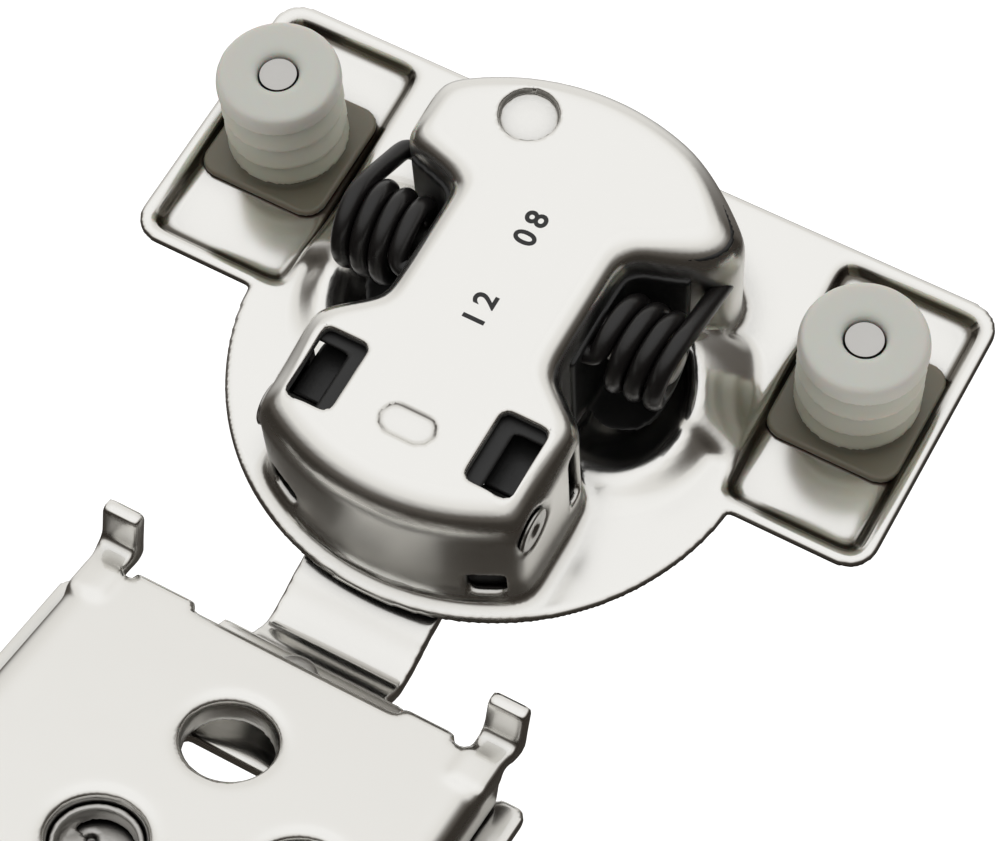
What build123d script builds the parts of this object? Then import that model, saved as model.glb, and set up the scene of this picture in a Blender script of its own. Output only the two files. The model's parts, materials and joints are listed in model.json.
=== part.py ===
from build123d import *
import math
import os

os.makedirs("parts", exist_ok=True)

# A concealed hinge for a cabinet door on a face frame, 35 mm cup.
# Origin: cup centre on the door's back face. +Z runs into the door, +Y towards the dowels, X is the hinge axis.
# The hinge stands open; the bracket plane leans back from the door by the opening angle.

# Cup pressing
sheet = 0.9
cup_radius = 17.4
cup_depth = 11.2
flange_width = 1.5
flange_radius = cup_radius + flange_width
flange_sheet = 1.0
flange_round = 0.3
waist_half = 6.5
waist_back = 6.4
front_block_half = 10.0
shoulder_slope = 0.29
shoulder_left = 11.4
shoulder_right = 13.8
plan_corner = 1.8
bottom_round = 1.8
inner_round = 0.8
foot_round = 0.8

# Raised rim round each spring pocket: a wide flank behind the rib and a narrow apron in front of it
rim_inner = 13.4
rim_crest = 0.9
rim_high = 3.6
rim_low = 0.5
rim_back = 8.0
rim_front = -6.0
rib_y = 1.1
flank_outer = 17.8
apron_outer = 15.6

# Wings
wing_half_span = 28.75
wing_front = -2.3
wing_back = 19.9
wing_corner = 2.2
tray_depth = 0.9
tray_rim = 1.2
tray_inner_front = 15.4
tray_inner_back = 17.1
tray_corner = 1.4
tray_inner_corner = 0.6
tray_flank_gap = 0.2
tray_hole = 1.7
tray_wall = 0.7

# Dowels and their screws
dowel_spacing = 45.0
dowel_y = 9.5
dowel_radius = 4.45
dowel_root = 3.95
dowel_top = 8.73
dowel_edges = (6.9, 4.75, 2.5, 0.55)
dowel_bore = 1.45
pad_side = 9.9
pad_thickness = 0.52
pad_corner = 1.5
dowel_top_round = 0.9
screw_radius = 1.3
screw_tip = 8.0
screw_head_radius = 3.0
screw_head_height = 1.3
screw_head_round = 0.6

# Knuckle: its axis lies a setback inside the cup's front, and the front block is laid out from it
knuckle_setback = 4.7
knuckle_y = knuckle_setback - cup_radius
knuckle_z = 7.6
block_behind_knuckle = 6.5
front_block_back = knuckle_y + block_behind_knuckle
block_slope_length = 3.0
waist_front = front_block_back + block_slope_length
pin_radius = 1.25
pin_head_radius = 1.6
pin_head_height = 0.35
pin_fit = 0.04
pin_recess_gap = 0.3
arm_sheet = 1.0
arm_half = 5.2
mouth_gap = 0.35
mouth_bend = 1.4
strap_slope = 10.0
valley_y = -23.3
tail_half = 7.4
tail_start = 3.9
tail_end = 2.6
tail_gap = 0.05
flare_start = 4.2
flare_end = 3.0
opening_angle = 107.05

# Springs and their axle
axle_y = 2.6
axle_z = 6.7
axle_radius = 1.5
axle_fit = 0.05
axle_half = 13.0
axle_chamfer = 0.4
spring_outer = 3.4
spring_wire = 1.25
coil_spacing = 1.45
spring_inner_x = 8.0
coil_turns = 3.25
leg_end_y = 10.1
leg_end_z = 6.2
leg_end_x = 12.0
hook_y = 9.2
hook_x = 12.15
hook_end = 10.6
leg_fit = 0.15
inner_leg_end = 5.35

# Spring lever and roller
lever_half = 2.0
lever_hub_half = 5.2
lever_wall = 0.75
lever_reach = 3.4
lever_nose = 0.9
lever_roller_gap = 0.19
lever_cheek = 0.7
lever_rest_angle = 214.0
roller_radius = 1.0
roller_pin_radius = 0.45
roller_fit = 0.04
roller_side_gap = 0.15

# Damper
damper_front = 7.0
damper_side_gap = 1.8
damper_half = shoulder_left - damper_side_gap
damper_low = 1.0
damper_gap = 0.15
damper_bore_end = 14.2
plunger_end = 11.0
plunger_x = 3.6
plunger_z = 3.0
plunger_radius = 0.9
plunger_pad_radius = 1.25
plunger_pad = 0.8
plunger_tip = -1.5
plunger_fit = 0.06

# Spacers beside the arm's eye
spacer_gap = 0.25
spacer_low = 4.9
spacer_inset = 0.7
spacer_back = front_block_back - spacer_inset
spacer_outer = 8.9
spacer_round = 1.2

# Openings in the cup
window_x = 6.67
window_behind_knuckle = 2.5
window_y = knuckle_y + window_behind_knuckle
window_width = 3.34
window_length = 5.4
window_corner = 0.5
oblong_behind_knuckle = 1.4
oblong_y = knuckle_y + oblong_behind_knuckle
oblong_length = 4.0
oblong_width = 2.2
oblong_depth = 0.25
dimple_x = -4.5
dimple_y = 13.1
dimple_radius = 2.1
dimple_depth = 0.5
side_slot_behind_knuckle = 5.5
side_slot_y = knuckle_y + side_slot_behind_knuckle
side_slot_width = 1.6
side_slot_low = 2.2
side_slot_high = 9.1
front_slot_x = 7.6
front_slot_width = 2.4
front_slot_low = 1.3
front_slot_high = 3.8

# Bracket frame: an inclined plane through the bracket's front edge
bracket_y = -26.94
bracket_z = 5.18
bracket_sheet = 1.2
bracket_half = 15.53
bracket_length = 34.0
bracket_bend = 1.9
bracket_wall_depth = 3.75
hook_depth = 6.3
hook_front = 9.0
hook_root = 24.0
hook_back = 28.0
lip_height = 0.75
ear_half_width = 1.4
ear_x = 14.3
ear_reach = 3.0
ear_height = 3.0
ear_round = 0.8
rim_depth = 1.1
hole_a = (0.0, 7.4, 3.0)
hole_b = (-2.9, 17.9, 3.05)
hole_c = (9.1, 13.95, 3.05)
rim_sheet = 0.8
rim_round = 0.5
lip_left = (-12.1, -7.5)
lip_right = (7.95, 11.55)
ear_bend = 1.2

# Slide plate under the bracket
slide_sheet = 1.0
slide_gap = 0.15
slide_half = 17.5
slide_back = 21.5
slide_front = 1.8
bar_inner = 15.1
bar_front = -0.6
slide_corner = 0.45
tongue_half = 7.0
tongue_front = 3.4
gap_half = 3.9
gap_front = 6.0
gap_back = 11.6
gap_step_x = 0.6
gap_step = 0.9
access_radius = 3.9

# Adjusting travel and cam
height_travel = 1.5
cam_throw = 1.5
cam_fit = 0.08
cam_pin_radius = 1.1
cam_pin_gap = 0.12
cam_slot = 1.2
cam_top = -0.7
cam_collar_gap = 0.12
cam_cross = 3.6
cam_cross_width = 0.6
cam_cross_depth = 0.9
rivet_s = -0.6
rivet_shank = 1.3
rivet_head = 2.1
rivet_top = 2.0
rivet_fit = 0.1
rivet_chamfer = 0.3
washer_radius = 2.6
washer_sheet = 0.5

# Planes
side_plane = Plane.YZ
lean = opening_angle - 90
bracket_plane = Plane(
    origin=(0, bracket_y, bracket_z),
    x_dir=(1, 0, 0),
    z_dir=(0, math.sin(math.radians(lean)), math.cos(math.radians(lean))),
)
bracket_axis = Axis(bracket_plane.origin, bracket_plane.z_dir)
side_axis = Axis(bracket_plane.origin, bracket_plane.y_dir)
inner_top = cup_depth - sheet
spring_mean = spring_outer - spring_wire / 2
slide_top = -(bracket_wall_depth + slide_gap)
tail_top = slide_top - slide_sheet

# Springs: each coil ends where its outer leg leaves it on a tangent towards the shoulder.
# Both legs are given on the left side; the right spring is the mirror image of its own.
leg_span = math.hypot(leg_end_y - axle_y, leg_end_z - axle_z)
leg_angle = math.atan2(leg_end_z - axle_z, leg_end_y - axle_y) + math.acos(spring_mean / leg_span)
coil_end_x = spring_inner_x + (coil_turns - 0.25) * coil_spacing
coil_start_x = coil_end_x - coil_turns * coil_spacing
leg_start_y = axle_y + spring_mean * math.cos(leg_angle)
leg_start_z = axle_z + spring_mean * math.sin(leg_angle)
start_angle = leg_angle + 2 * math.pi * coil_turns
inner_leg_place = (
    axle_y + spring_mean * math.cos(start_angle),
    axle_z + spring_mean * math.sin(start_angle),
)
hook_share = (hook_y - leg_start_y) / (leg_end_y - leg_start_y)
hook_z = leg_start_z + hook_share * (leg_end_z - leg_start_z)
right_leg = [
    Vector(-coil_end_x, leg_start_y, leg_start_z),
    Vector(-leg_end_x, leg_end_y, leg_end_z),
]
left_leg = [
    Vector(-coil_end_x, leg_start_y, leg_start_z),
    Vector(-hook_x, hook_y, hook_z),
    Vector(-hook_end, hook_y, hook_z),
]


channel_plane = Plane(
    origin=bracket_plane.origin,
    x_dir=(1, 0, 0),
    z_dir=-bracket_plane.y_dir,
)
wall_plane = Plane(
    origin=bracket_plane.origin,
    x_dir=-bracket_plane.y_dir,
    z_dir=(-1, 0, 0),
)


def rim_level(y):
    """Height of a pocket's rim at y: it falls steadily towards the front."""
    return rim_low + (rim_high - rim_low) * (y - rim_front) / (rim_back - rim_front)


def on_side(s, h):
    """Y and Z of a point s along the bracket and h above its face."""
    point = bracket_plane.from_local_coords((0, -s, h))
    return (point.Y, point.Z)


# ---------------------------------------------------------------- cup pressing
with BuildSketch() as cup_plan:
    Circle(cup_radius)
    for side, reach in ((1, shoulder_right), (-1, shoulder_left)):
        far = side * 2 * cup_radius
        with BuildLine():
            Polyline(
                (side * waist_half, waist_front),
                (side * waist_half, waist_back),
                (side * reach, waist_back + shoulder_slope * (reach - waist_half)),
                (side * reach, 2 * cup_radius),
                (far, 2 * cup_radius),
                (far, -2 * cup_radius),
                (side * front_block_half, -2 * cup_radius),
                (side * front_block_half, front_block_back),
                close=True,
            )
        make_face(mode=Mode.SUBTRACT)
    fillet(cup_plan.vertices(), plan_corner)

with BuildSketch() as cup_inner_plan:
    add(cup_plan.sketch)
    offset(amount=-sheet, mode=Mode.REPLACE)

with BuildPart() as cup_hollow:
    with BuildSketch(Plane.XY.offset(-flange_sheet - tray_depth)):
        add(cup_inner_plan.sketch)
    extrude(amount=inner_top + flange_sheet + tray_depth)
    fillet(cup_hollow.faces().sort_by(Axis.Z)[-1].edges(), inner_round)

pocket_rims = []
for outer, front, back in ((flank_outer, rib_y, rim_back), (apron_outer, rim_front, rib_y)):
    with BuildPart() as pocket_rim:
        with BuildSketch(Plane.XZ):
            with BuildLine():
                Polyline(
                    (rim_inner, 0),
                    (rim_inner, rim_high),
                    (rim_inner + rim_crest, rim_high),
                    (outer, 0),
                    close=True,
                )
            make_face()
        revolve(axis=Axis.Z)
        with BuildSketch(side_plane):
            with BuildLine():
                Polyline(
                    (front, 0),
                    (front, rim_level(front)),
                    (back, rim_level(back)),
                    (back, 0),
                    close=True,
                )
            make_face()
        extrude(amount=2 * cup_radius, both=True, mode=Mode.INTERSECT)
    pocket_rims.append(pocket_rim.part)

with BuildSketch() as flank_plan:
    Circle(flank_outer + tray_flank_gap)
    with Locations((0, rib_y)):
        Rectangle(4 * cup_radius, 4 * cup_radius, align=(Align.CENTER, Align.MIN), mode=Mode.INTERSECT)

tray_outer = wing_half_span - tray_rim
tray_inner_span = flank_outer + tray_inner_corner
with BuildSketch() as tray_plan:
    for side in (-1, 1):
        with BuildLine():
            Polyline(
                (side * tray_inner_front, wing_front + tray_rim),
                (side * tray_outer, wing_front + tray_rim),
                (side * tray_outer, wing_back - tray_rim),
                (side * tray_inner_back, wing_back - tray_rim),
                close=True,
            )
        make_face()
    fillet(tray_plan.vertices().group_by(Axis.X)[0], tray_corner)
    fillet(tray_plan.vertices().group_by(Axis.X)[-1], tray_corner)
    add(flank_plan.sketch, mode=Mode.SUBTRACT)
    inner_corners = tray_plan.vertices().filter_by_position(Axis.X, -tray_inner_span, tray_inner_span)
    fillet(inner_corners, tray_inner_corner)

with BuildPart() as cup_pressing:
    with BuildSketch():
        add(cup_plan.sketch)
    extrude(amount=cup_depth)
    fillet(cup_pressing.faces().sort_by(Axis.Z)[-1].edges(), bottom_round)
    with BuildSketch(Plane.XY.offset(-flange_sheet)):
        Circle(flange_radius)
        with Locations((0, (wing_front + wing_back) / 2)):
            RectangleRounded(2 * wing_half_span, wing_back - wing_front, wing_corner)
    extrude(amount=flange_sheet)
    flange_face = cup_pressing.faces().filter_by(Plane.XY).sort_by(Axis.Z)[1]
    fillet(flange_face.inner_wires()[0].edges(), foot_round)
    flange_face = cup_pressing.faces().filter_by(Plane.XY).sort_by(Axis.Z)[1]
    fillet(flange_face.outer_wire().edges(), flange_round)
    for rim in pocket_rims:
        add(rim)
    with BuildSketch(Plane.XY.offset(-flange_sheet - tray_depth)):
        add(tray_plan.sketch)
        offset(amount=tray_wall, mode=Mode.REPLACE)
    extrude(amount=flange_sheet + tray_depth)
    with BuildSketch(Plane.XY.offset(-tray_depth)):
        add(tray_plan.sketch)
    extrude(amount=tray_depth, mode=Mode.SUBTRACT)
    add(cup_hollow.part, mode=Mode.SUBTRACT)
    with BuildSketch(Plane.XY.offset(inner_top - bottom_round)):
        with Locations((-window_x, window_y), (window_x, window_y)):
            RectangleRounded(window_width, window_length, window_corner)
    extrude(amount=2 * bottom_round, mode=Mode.SUBTRACT)
    with BuildSketch(Plane.XY.offset(cup_depth - oblong_depth)):
        with Locations((0, oblong_y)):
            SlotOverall(oblong_length, oblong_width)
    extrude(amount=oblong_depth, mode=Mode.SUBTRACT)
    with BuildSketch(Plane.XY.offset(cup_depth - dimple_depth)):
        with Locations((dimple_x, dimple_y)):
            Circle(dimple_radius)
    extrude(amount=dimple_depth, mode=Mode.SUBTRACT)
    with BuildSketch(side_plane):
        with Locations((side_slot_y, (side_slot_low + side_slot_high) / 2)):
            RectangleRounded(side_slot_width, side_slot_high - side_slot_low, window_corner)
        with Locations((knuckle_y, knuckle_z)):
            Circle(pin_radius + pin_fit)
    extrude(amount=front_block_half + sheet, both=True, mode=Mode.SUBTRACT)
    for side in (-1, 1):
        with BuildSketch(side_plane.offset(side * (front_block_half - pin_head_height))):
            with Locations((knuckle_y, knuckle_z)):
                Circle(pin_head_radius + pin_recess_gap)
        extrude(amount=side * (pin_head_height + sheet), mode=Mode.SUBTRACT)
    with BuildSketch(Plane.XZ.offset(-knuckle_y)):
        with Locations(
            (-front_slot_x, (front_slot_low + front_slot_high) / 2),
            (front_slot_x, (front_slot_low + front_slot_high) / 2),
        ):
            RectangleRounded(front_slot_width, front_slot_high - front_slot_low, window_corner)
    extrude(amount=cup_radius + knuckle_y, mode=Mode.SUBTRACT)
    with BuildSketch(side_plane):
        with Locations((axle_y, axle_z)):
            Circle(axle_radius + axle_fit)
        with Locations(inner_leg_place):
            Circle(spring_wire / 2 + leg_fit)
    extrude(amount=waist_half + sheet, both=True, mode=Mode.SUBTRACT)
    right_start, right_end = (Vector(-point.X, point.Y, point.Z) for point in right_leg)
    with BuildSketch(Plane(origin=right_start, z_dir=right_end - right_start)):
        Circle(spring_wire / 2 + leg_fit)
    extrude(amount=(right_end - right_start).length, mode=Mode.SUBTRACT)
    with BuildSketch(side_plane.offset(-shoulder_left - leg_fit)):
        with Locations((left_leg[1].Y, left_leg[1].Z)):
            Circle(spring_wire / 2 + leg_fit)
    extrude(amount=2 * sheet, mode=Mode.SUBTRACT)
    with BuildSketch(Plane.XY.offset(-flange_sheet - tray_depth)):
        with Locations((-dowel_spacing / 2, dowel_y), (dowel_spacing / 2, dowel_y)):
            Circle(tray_hole)
    extrude(amount=flange_sheet, mode=Mode.SUBTRACT)
cup_pressing.part.label = "cup_pressing"
export_step(cup_pressing.part, "parts/cup_pressing.step")

# ---------------------------------------------------------------- dowels
dowel_sides = (("dowel_left", -1), ("dowel_right", 1))
for node, side in dowel_sides:
    dowel_x = side * dowel_spacing / 2
    with BuildPart() as dowel:
        with BuildSketch(Plane.XZ.offset(-dowel_y)):
            with BuildLine():
                points = [(dowel_x, -tray_depth), (dowel_x, dowel_top)]
                points.append((dowel_x + dowel_radius, dowel_top))
                points.append((dowel_x + dowel_radius, dowel_edges[0]))
                for upper, lower in zip(dowel_edges, dowel_edges[1:]):
                    points.append((dowel_x + dowel_root, upper))
                    points.append((dowel_x + dowel_radius, lower))
                points.append((dowel_x + dowel_root, dowel_edges[-1]))
                points.append((dowel_x + dowel_root, -tray_depth))
                Polyline(*points, close=True)
            make_face()
        revolve(axis=Axis((dowel_x, dowel_y, 0), (0, 0, 1)))
        fillet(dowel.edges().group_by(Axis.Z)[-1].sort_by(SortBy.RADIUS)[-1], dowel_top_round)
        with BuildSketch(Plane.XY.offset(-tray_depth)):
            with Locations((dowel_x, dowel_y)):
                RectangleRounded(pad_side, pad_side, pad_corner)
        extrude(amount=pad_thickness)
        with BuildSketch(Plane.XY.offset(-tray_depth)):
            with Locations((dowel_x, dowel_y)):
                Circle(dowel_bore)
        extrude(amount=tray_depth + dowel_top, mode=Mode.SUBTRACT)
    dowel.part.label = node
    export_step(dowel.part, "parts/" + node + ".step")

with BuildPart() as dowel_screws:
    floor = -flange_sheet - tray_depth
    with BuildSketch(Plane.XY.offset(floor)):
        with Locations((-dowel_spacing / 2, dowel_y), (dowel_spacing / 2, dowel_y)):
            Circle(screw_radius)
    extrude(amount=screw_tip - floor)
    with BuildSketch(Plane.XY.offset(floor)):
        with Locations((-dowel_spacing / 2, dowel_y), (dowel_spacing / 2, dowel_y)):
            Circle(screw_head_radius)
    extrude(amount=-screw_head_height)
    fillet(dowel_screws.edges().group_by(Axis.Z)[0], screw_head_round)
dowel_screws.part.label = "dowel_screws"
export_step(dowel_screws.part, "parts/dowel_screws.step")

# ---------------------------------------------------------------- pins
pin_seat = front_block_half - pin_head_height
with BuildPart() as knuckle_pin:
    with BuildSketch(side_plane.offset(-pin_seat)):
        with Locations((knuckle_y, knuckle_z)):
            Circle(pin_radius)
    extrude(amount=2 * pin_seat)
    for side in (-1, 1):
        with BuildSketch(side_plane.offset(side * pin_seat)):
            with Locations((knuckle_y, knuckle_z)):
                Circle(pin_head_radius)
        extrude(amount=side * pin_head_height)
knuckle_pin.part.label = "knuckle_pin"
export_step(knuckle_pin.part, "parts/knuckle_pin.step")

with BuildPart() as spring_pin:
    with BuildSketch(side_plane):
        with Locations((axle_y, axle_z)):
            Circle(axle_radius)
    extrude(amount=axle_half, both=True)
    chamfer(spring_pin.edges().filter_by(GeomType.CIRCLE), axle_chamfer)
spring_pin.part.label = "spring_pin"
export_step(spring_pin.part, "parts/spring_pin.step")

# ---------------------------------------------------------------- springs
coil_plane = Plane(
    origin=(-coil_end_x, axle_y, axle_z),
    x_dir=(0, math.cos(leg_angle), math.sin(leg_angle)),
    z_dir=(1, 0, 0),
)
coil_path = coil_plane * Helix(coil_spacing, coil_turns * coil_spacing, spring_mean)
for node, leg in (("spring_left", left_leg), ("spring_right", right_leg)):
    with BuildPart() as spring:
        with BuildSketch(Plane(origin=coil_path @ 0, z_dir=coil_path % 0)):
            Circle(spring_wire / 2)
        sweep(path=coil_path, is_frenet=True)
        for start, end in zip(leg, leg[1:]):
            with BuildSketch(Plane(origin=start, z_dir=end - start)):
                Circle(spring_wire / 2)
            extrude(amount=(end - start).length)
            with Locations(start):
                Sphere(spring_wire / 2)
        with BuildSketch(side_plane.offset(-coil_start_x)):
            with Locations(inner_leg_place):
                Circle(spring_wire / 2)
        extrude(amount=coil_start_x - inner_leg_end)
        with Locations((-coil_start_x, inner_leg_place[0], inner_leg_place[1])):
            Sphere(spring_wire / 2)
        if node == "spring_right":
            mirror(about=Plane.YZ, mode=Mode.REPLACE)
    spring.part.label = node
    export_step(spring.part, "parts/" + node + ".step")

# ---------------------------------------------------------------- spring lever and roller
lever_angle = math.radians(lever_rest_angle)
roller_y = axle_y + lever_reach * math.cos(lever_angle)
roller_z = axle_z + lever_reach * math.sin(lever_angle)
hub_radius = axle_radius + axle_fit + lever_wall
with BuildPart() as spring_lever:
    with BuildSketch(side_plane):
        with Locations((axle_y, axle_z)):
            Circle(hub_radius)
    extrude(amount=lever_hub_half, both=True)
    with BuildSketch(side_plane):
        with Locations((axle_y, axle_z)):
            Circle(hub_radius)
        with Locations((roller_y, roller_z)):
            Circle(lever_nose)
        make_hull()
    extrude(amount=lever_half, both=True)
    with BuildSketch(side_plane):
        with Locations((roller_y, roller_z)):
            Circle(roller_radius + lever_roller_gap)
    extrude(amount=lever_half - lever_cheek, both=True, mode=Mode.SUBTRACT)
    with BuildSketch(side_plane):
        with Locations((axle_y, axle_z)):
            Circle(axle_radius + axle_fit)
        with Locations((roller_y, roller_z)):
            Circle(roller_pin_radius)
    extrude(amount=lever_hub_half, both=True, mode=Mode.SUBTRACT)
spring_lever.part.label = "spring_lever"
export_step(spring_lever.part, "parts/spring_lever.step")

with BuildPart() as roller_pin:
    with BuildSketch(side_plane):
        with Locations((roller_y, roller_z)):
            Circle(roller_pin_radius)
    extrude(amount=lever_half, both=True)
roller_pin.part.label = "roller_pin"
export_step(roller_pin.part, "parts/roller_pin.step")

with BuildPart() as lever_roller:
    with BuildSketch(side_plane):
        with Locations((roller_y, roller_z)):
            Circle(roller_radius)
            Circle(roller_pin_radius + roller_fit, mode=Mode.SUBTRACT)
    extrude(amount=lever_half - lever_cheek - roller_side_gap, both=True)
lever_roller.part.label = "lever_roller"
export_step(lever_roller.part, "parts/lever_roller.step")

# ---------------------------------------------------------------- damper
with BuildPart() as damper_housing:
    with BuildSketch(Plane.XY.offset(damper_low)):
        add(cup_inner_plan.sketch)
        offset(amount=-damper_gap, mode=Mode.REPLACE)
        with Locations((0, damper_front)):
            Rectangle(2 * damper_half, cup_radius, align=(Align.CENTER, Align.MIN), mode=Mode.INTERSECT)
    extrude(amount=inner_top - dimple_depth - damper_low)
    chamfer(damper_housing.faces().sort_by(Axis.Z)[-1].edges(), inner_round)
    with BuildSketch(Plane.XZ.offset(-damper_front)):
        with Locations((plunger_x, plunger_z)):
            Circle(plunger_radius + plunger_fit)
    extrude(amount=damper_front - damper_bore_end, mode=Mode.SUBTRACT)
damper_housing.part.label = "damper_housing"
export_step(damper_housing.part, "parts/damper_housing.step")

with BuildPart() as damper_plunger:
    with BuildSketch(Plane.XZ.offset(-plunger_tip)):
        with Locations((plunger_x, plunger_z)):
            Circle(plunger_pad_radius)
    extrude(amount=-plunger_pad)
    with BuildSketch(Plane.XZ.offset(-plunger_tip)):
        with Locations((plunger_x, plunger_z)):
            Circle(plunger_radius)
    extrude(amount=plunger_tip - plunger_end)
damper_plunger.part.label = "damper_plunger"
export_step(damper_plunger.part, "parts/damper_plunger.step")

# ---------------------------------------------------------------- spacers beside the eye
for node, side in (("spacer_left", -1), ("spacer_right", 1)):
    with BuildPart() as spacer:
        with BuildSketch(Plane.XY.offset(spacer_low)):
            add(cup_inner_plan.sketch)
            offset(amount=-damper_gap, mode=Mode.REPLACE)
            with Locations((side * (arm_half + spacer_gap), spacer_back)):
                Rectangle(
                    spacer_outer - arm_half - spacer_gap,
                    cup_radius,
                    align=(Align.MIN if side > 0 else Align.MAX, Align.MAX),
                    mode=Mode.INTERSECT,
                )
        extrude(amount=inner_top - inner_round - spacer_low)
        fillet(spacer.edges().filter_by(Axis.X).group_by(Axis.Y)[-1], spacer_round)
        with BuildSketch(side_plane):
            with Locations((knuckle_y, knuckle_z)):
                Circle(pin_radius + pin_fit)
        extrude(amount=front_block_half, both=True, mode=Mode.SUBTRACT)
    spacer.part.label = node
    export_step(spacer.part, "parts/" + node + ".step")

# ---------------------------------------------------------------- arm
eye_radius = pin_radius + pin_fit + arm_sheet
strap_y = knuckle_y - eye_radius + arm_sheet / 2
slope = math.tan(math.radians(strap_slope))
mouth_z = -flange_sheet - mouth_gap - arm_sheet / 2 / math.cos(math.radians(strap_slope))
corner_z = mouth_z + slope * (cup_radius - sheet + strap_y)
valley_z = corner_z - slope * (strap_y - valley_y)
tail_level = tail_top - tail_gap - arm_sheet / 2
with BuildPart() as hinge_arm:
    with BuildSketch(side_plane):
        with BuildLine():
            strap_line = FilletPolyline(
                (strap_y, knuckle_z),
                (strap_y, corner_z),
                (valley_y, valley_z),
                on_side(-tail_start, tail_level),
                on_side(tail_end, tail_level),
                radius=[mouth_bend, mouth_bend, mouth_bend],
            )
        trace(line_width=arm_sheet)
        with Locations((knuckle_y, knuckle_z)):
            Circle(eye_radius)
            Circle(pin_radius + pin_fit, mode=Mode.SUBTRACT)
    extrude(amount=tail_half, both=True)
    with BuildSketch(bracket_plane):
        for side in (-1, 1):
            with BuildLine():
                Polyline(
                    (side * arm_half, 2 * cup_radius),
                    (side * arm_half, flare_start),
                    (side * tail_half, flare_end),
                    (side * 2 * tail_half, flare_end),
                    (side * 2 * tail_half, 2 * cup_radius),
                    close=True,
                )
            make_face()
    extrude(amount=2 * cup_radius, both=True, mode=Mode.SUBTRACT)
    with BuildSketch(bracket_plane):
        with Locations((0, -rivet_s)):
            Circle(rivet_shank)
    extrude(amount=-2 * hook_depth, mode=Mode.SUBTRACT)
hinge_arm.part.label = "hinge_arm"
export_step(hinge_arm.part, "parts/hinge_arm.step")

tail_under = tail_top - tail_gap - arm_sheet
with BuildPart() as arm_rivet:
    with BuildSketch(bracket_plane.offset(slide_top + tail_gap)):
        with Locations((0, -rivet_s)):
            Circle(rivet_head)
    extrude(amount=-rivet_top - slide_top - tail_gap)
    chamfer(arm_rivet.faces().sort_by(Axis.Z)[-1].edges(), rivet_chamfer)
    with BuildSketch(bracket_plane.offset(tail_under - washer_sheet)):
        with Locations((0, -rivet_s)):
            Circle(rivet_shank)
    extrude(amount=slide_top + tail_gap - tail_under + washer_sheet)
    with BuildSketch(bracket_plane.offset(tail_under - washer_sheet)):
        with Locations((0, -rivet_s)):
            Circle(rivet_head)
    extrude(amount=-washer_sheet)
arm_rivet.part.label = "arm_rivet"
export_step(arm_rivet.part, "parts/arm_rivet.step")

with BuildPart() as rivet_washer:
    with BuildSketch(bracket_plane.offset(tail_under)):
        with Locations((0, -rivet_s)):
            Circle(washer_radius)
            Circle(rivet_shank, mode=Mode.SUBTRACT)
    extrude(amount=-washer_sheet)
rivet_washer.part.label = "rivet_washer"
export_step(rivet_washer.part, "parts/rivet_washer.step")

# ---------------------------------------------------------------- slide plate
with BuildPart() as slide_plate:
    with BuildSketch(bracket_plane.offset(slide_top)) as slide_outline:
        with Locations((0, -slide_front)):
            Rectangle(2 * slide_half, slide_back - slide_front, align=(Align.CENTER, Align.MAX))
        with Locations((0, tongue_front)):
            Rectangle(2 * tongue_half, tongue_front + slide_front, align=(Align.CENTER, Align.MAX))
        for side in (-1, 1):
            with Locations((side * (slide_half + bar_inner) / 2, -bar_front)):
                Rectangle(slide_half - bar_inner, slide_back - bar_front, align=(Align.CENTER, Align.MAX))
        fillet(slide_outline.vertices(), slide_corner)
        with Locations((-gap_half, -gap_back)):
            Rectangle(gap_half + gap_step_x, gap_back - gap_front, align=Align.MIN, mode=Mode.SUBTRACT)
            Rectangle(2 * gap_half, gap_back - gap_front - gap_step, align=Align.MIN, mode=Mode.SUBTRACT)
        with Locations((0, -rivet_s)):
            SlotCenterToCenter(2 * height_travel, 2 * (rivet_shank + rivet_fit), mode=Mode.SUBTRACT)
        with Locations((hole_c[0], -hole_c[1])):
            Circle(access_radius, mode=Mode.SUBTRACT)
        with Locations((hole_b[0] + cam_throw, -hole_b[1])):
            SlotCenterToCenter(cam_slot, 2 * (cam_pin_radius + cam_pin_gap), mode=Mode.SUBTRACT)
    extrude(amount=-slide_sheet)
slide_plate.part.label = "slide_plate"
export_step(slide_plate.part, "parts/slide_plate.step")

# ---------------------------------------------------------------- depth cam
rim_end = -bracket_sheet - rim_depth
with BuildPart() as depth_cam:
    with BuildSketch(bracket_plane.offset(cam_top)):
        with Locations((hole_b[0], -hole_b[1])):
            Circle(hole_b[2] - cam_fit)
    extrude(amount=rim_end - cam_collar_gap - cam_top)
    with BuildSketch(bracket_plane.offset(rim_end - cam_collar_gap)):
        with Locations((hole_b[0], -hole_b[1])):
            Circle(hole_b[2] + rim_sheet)
    extrude(amount=slide_top + cam_collar_gap - rim_end + cam_collar_gap)
    with BuildSketch(bracket_plane.offset(slide_top + cam_collar_gap)):
        with Locations((hole_b[0] + cam_throw, -hole_b[1])):
            Circle(cam_pin_radius)
    extrude(amount=-slide_sheet - 2 * cam_collar_gap)
    with BuildSketch(bracket_plane.offset(cam_top)):
        with Locations((hole_b[0], -hole_b[1])):
            Rectangle(cam_cross, cam_cross_width)
            Rectangle(cam_cross_width, cam_cross)
    extrude(amount=-cam_cross_depth, mode=Mode.SUBTRACT)
depth_cam.part.label = "depth_cam"
export_step(depth_cam.part, "parts/depth_cam.step")

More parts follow.
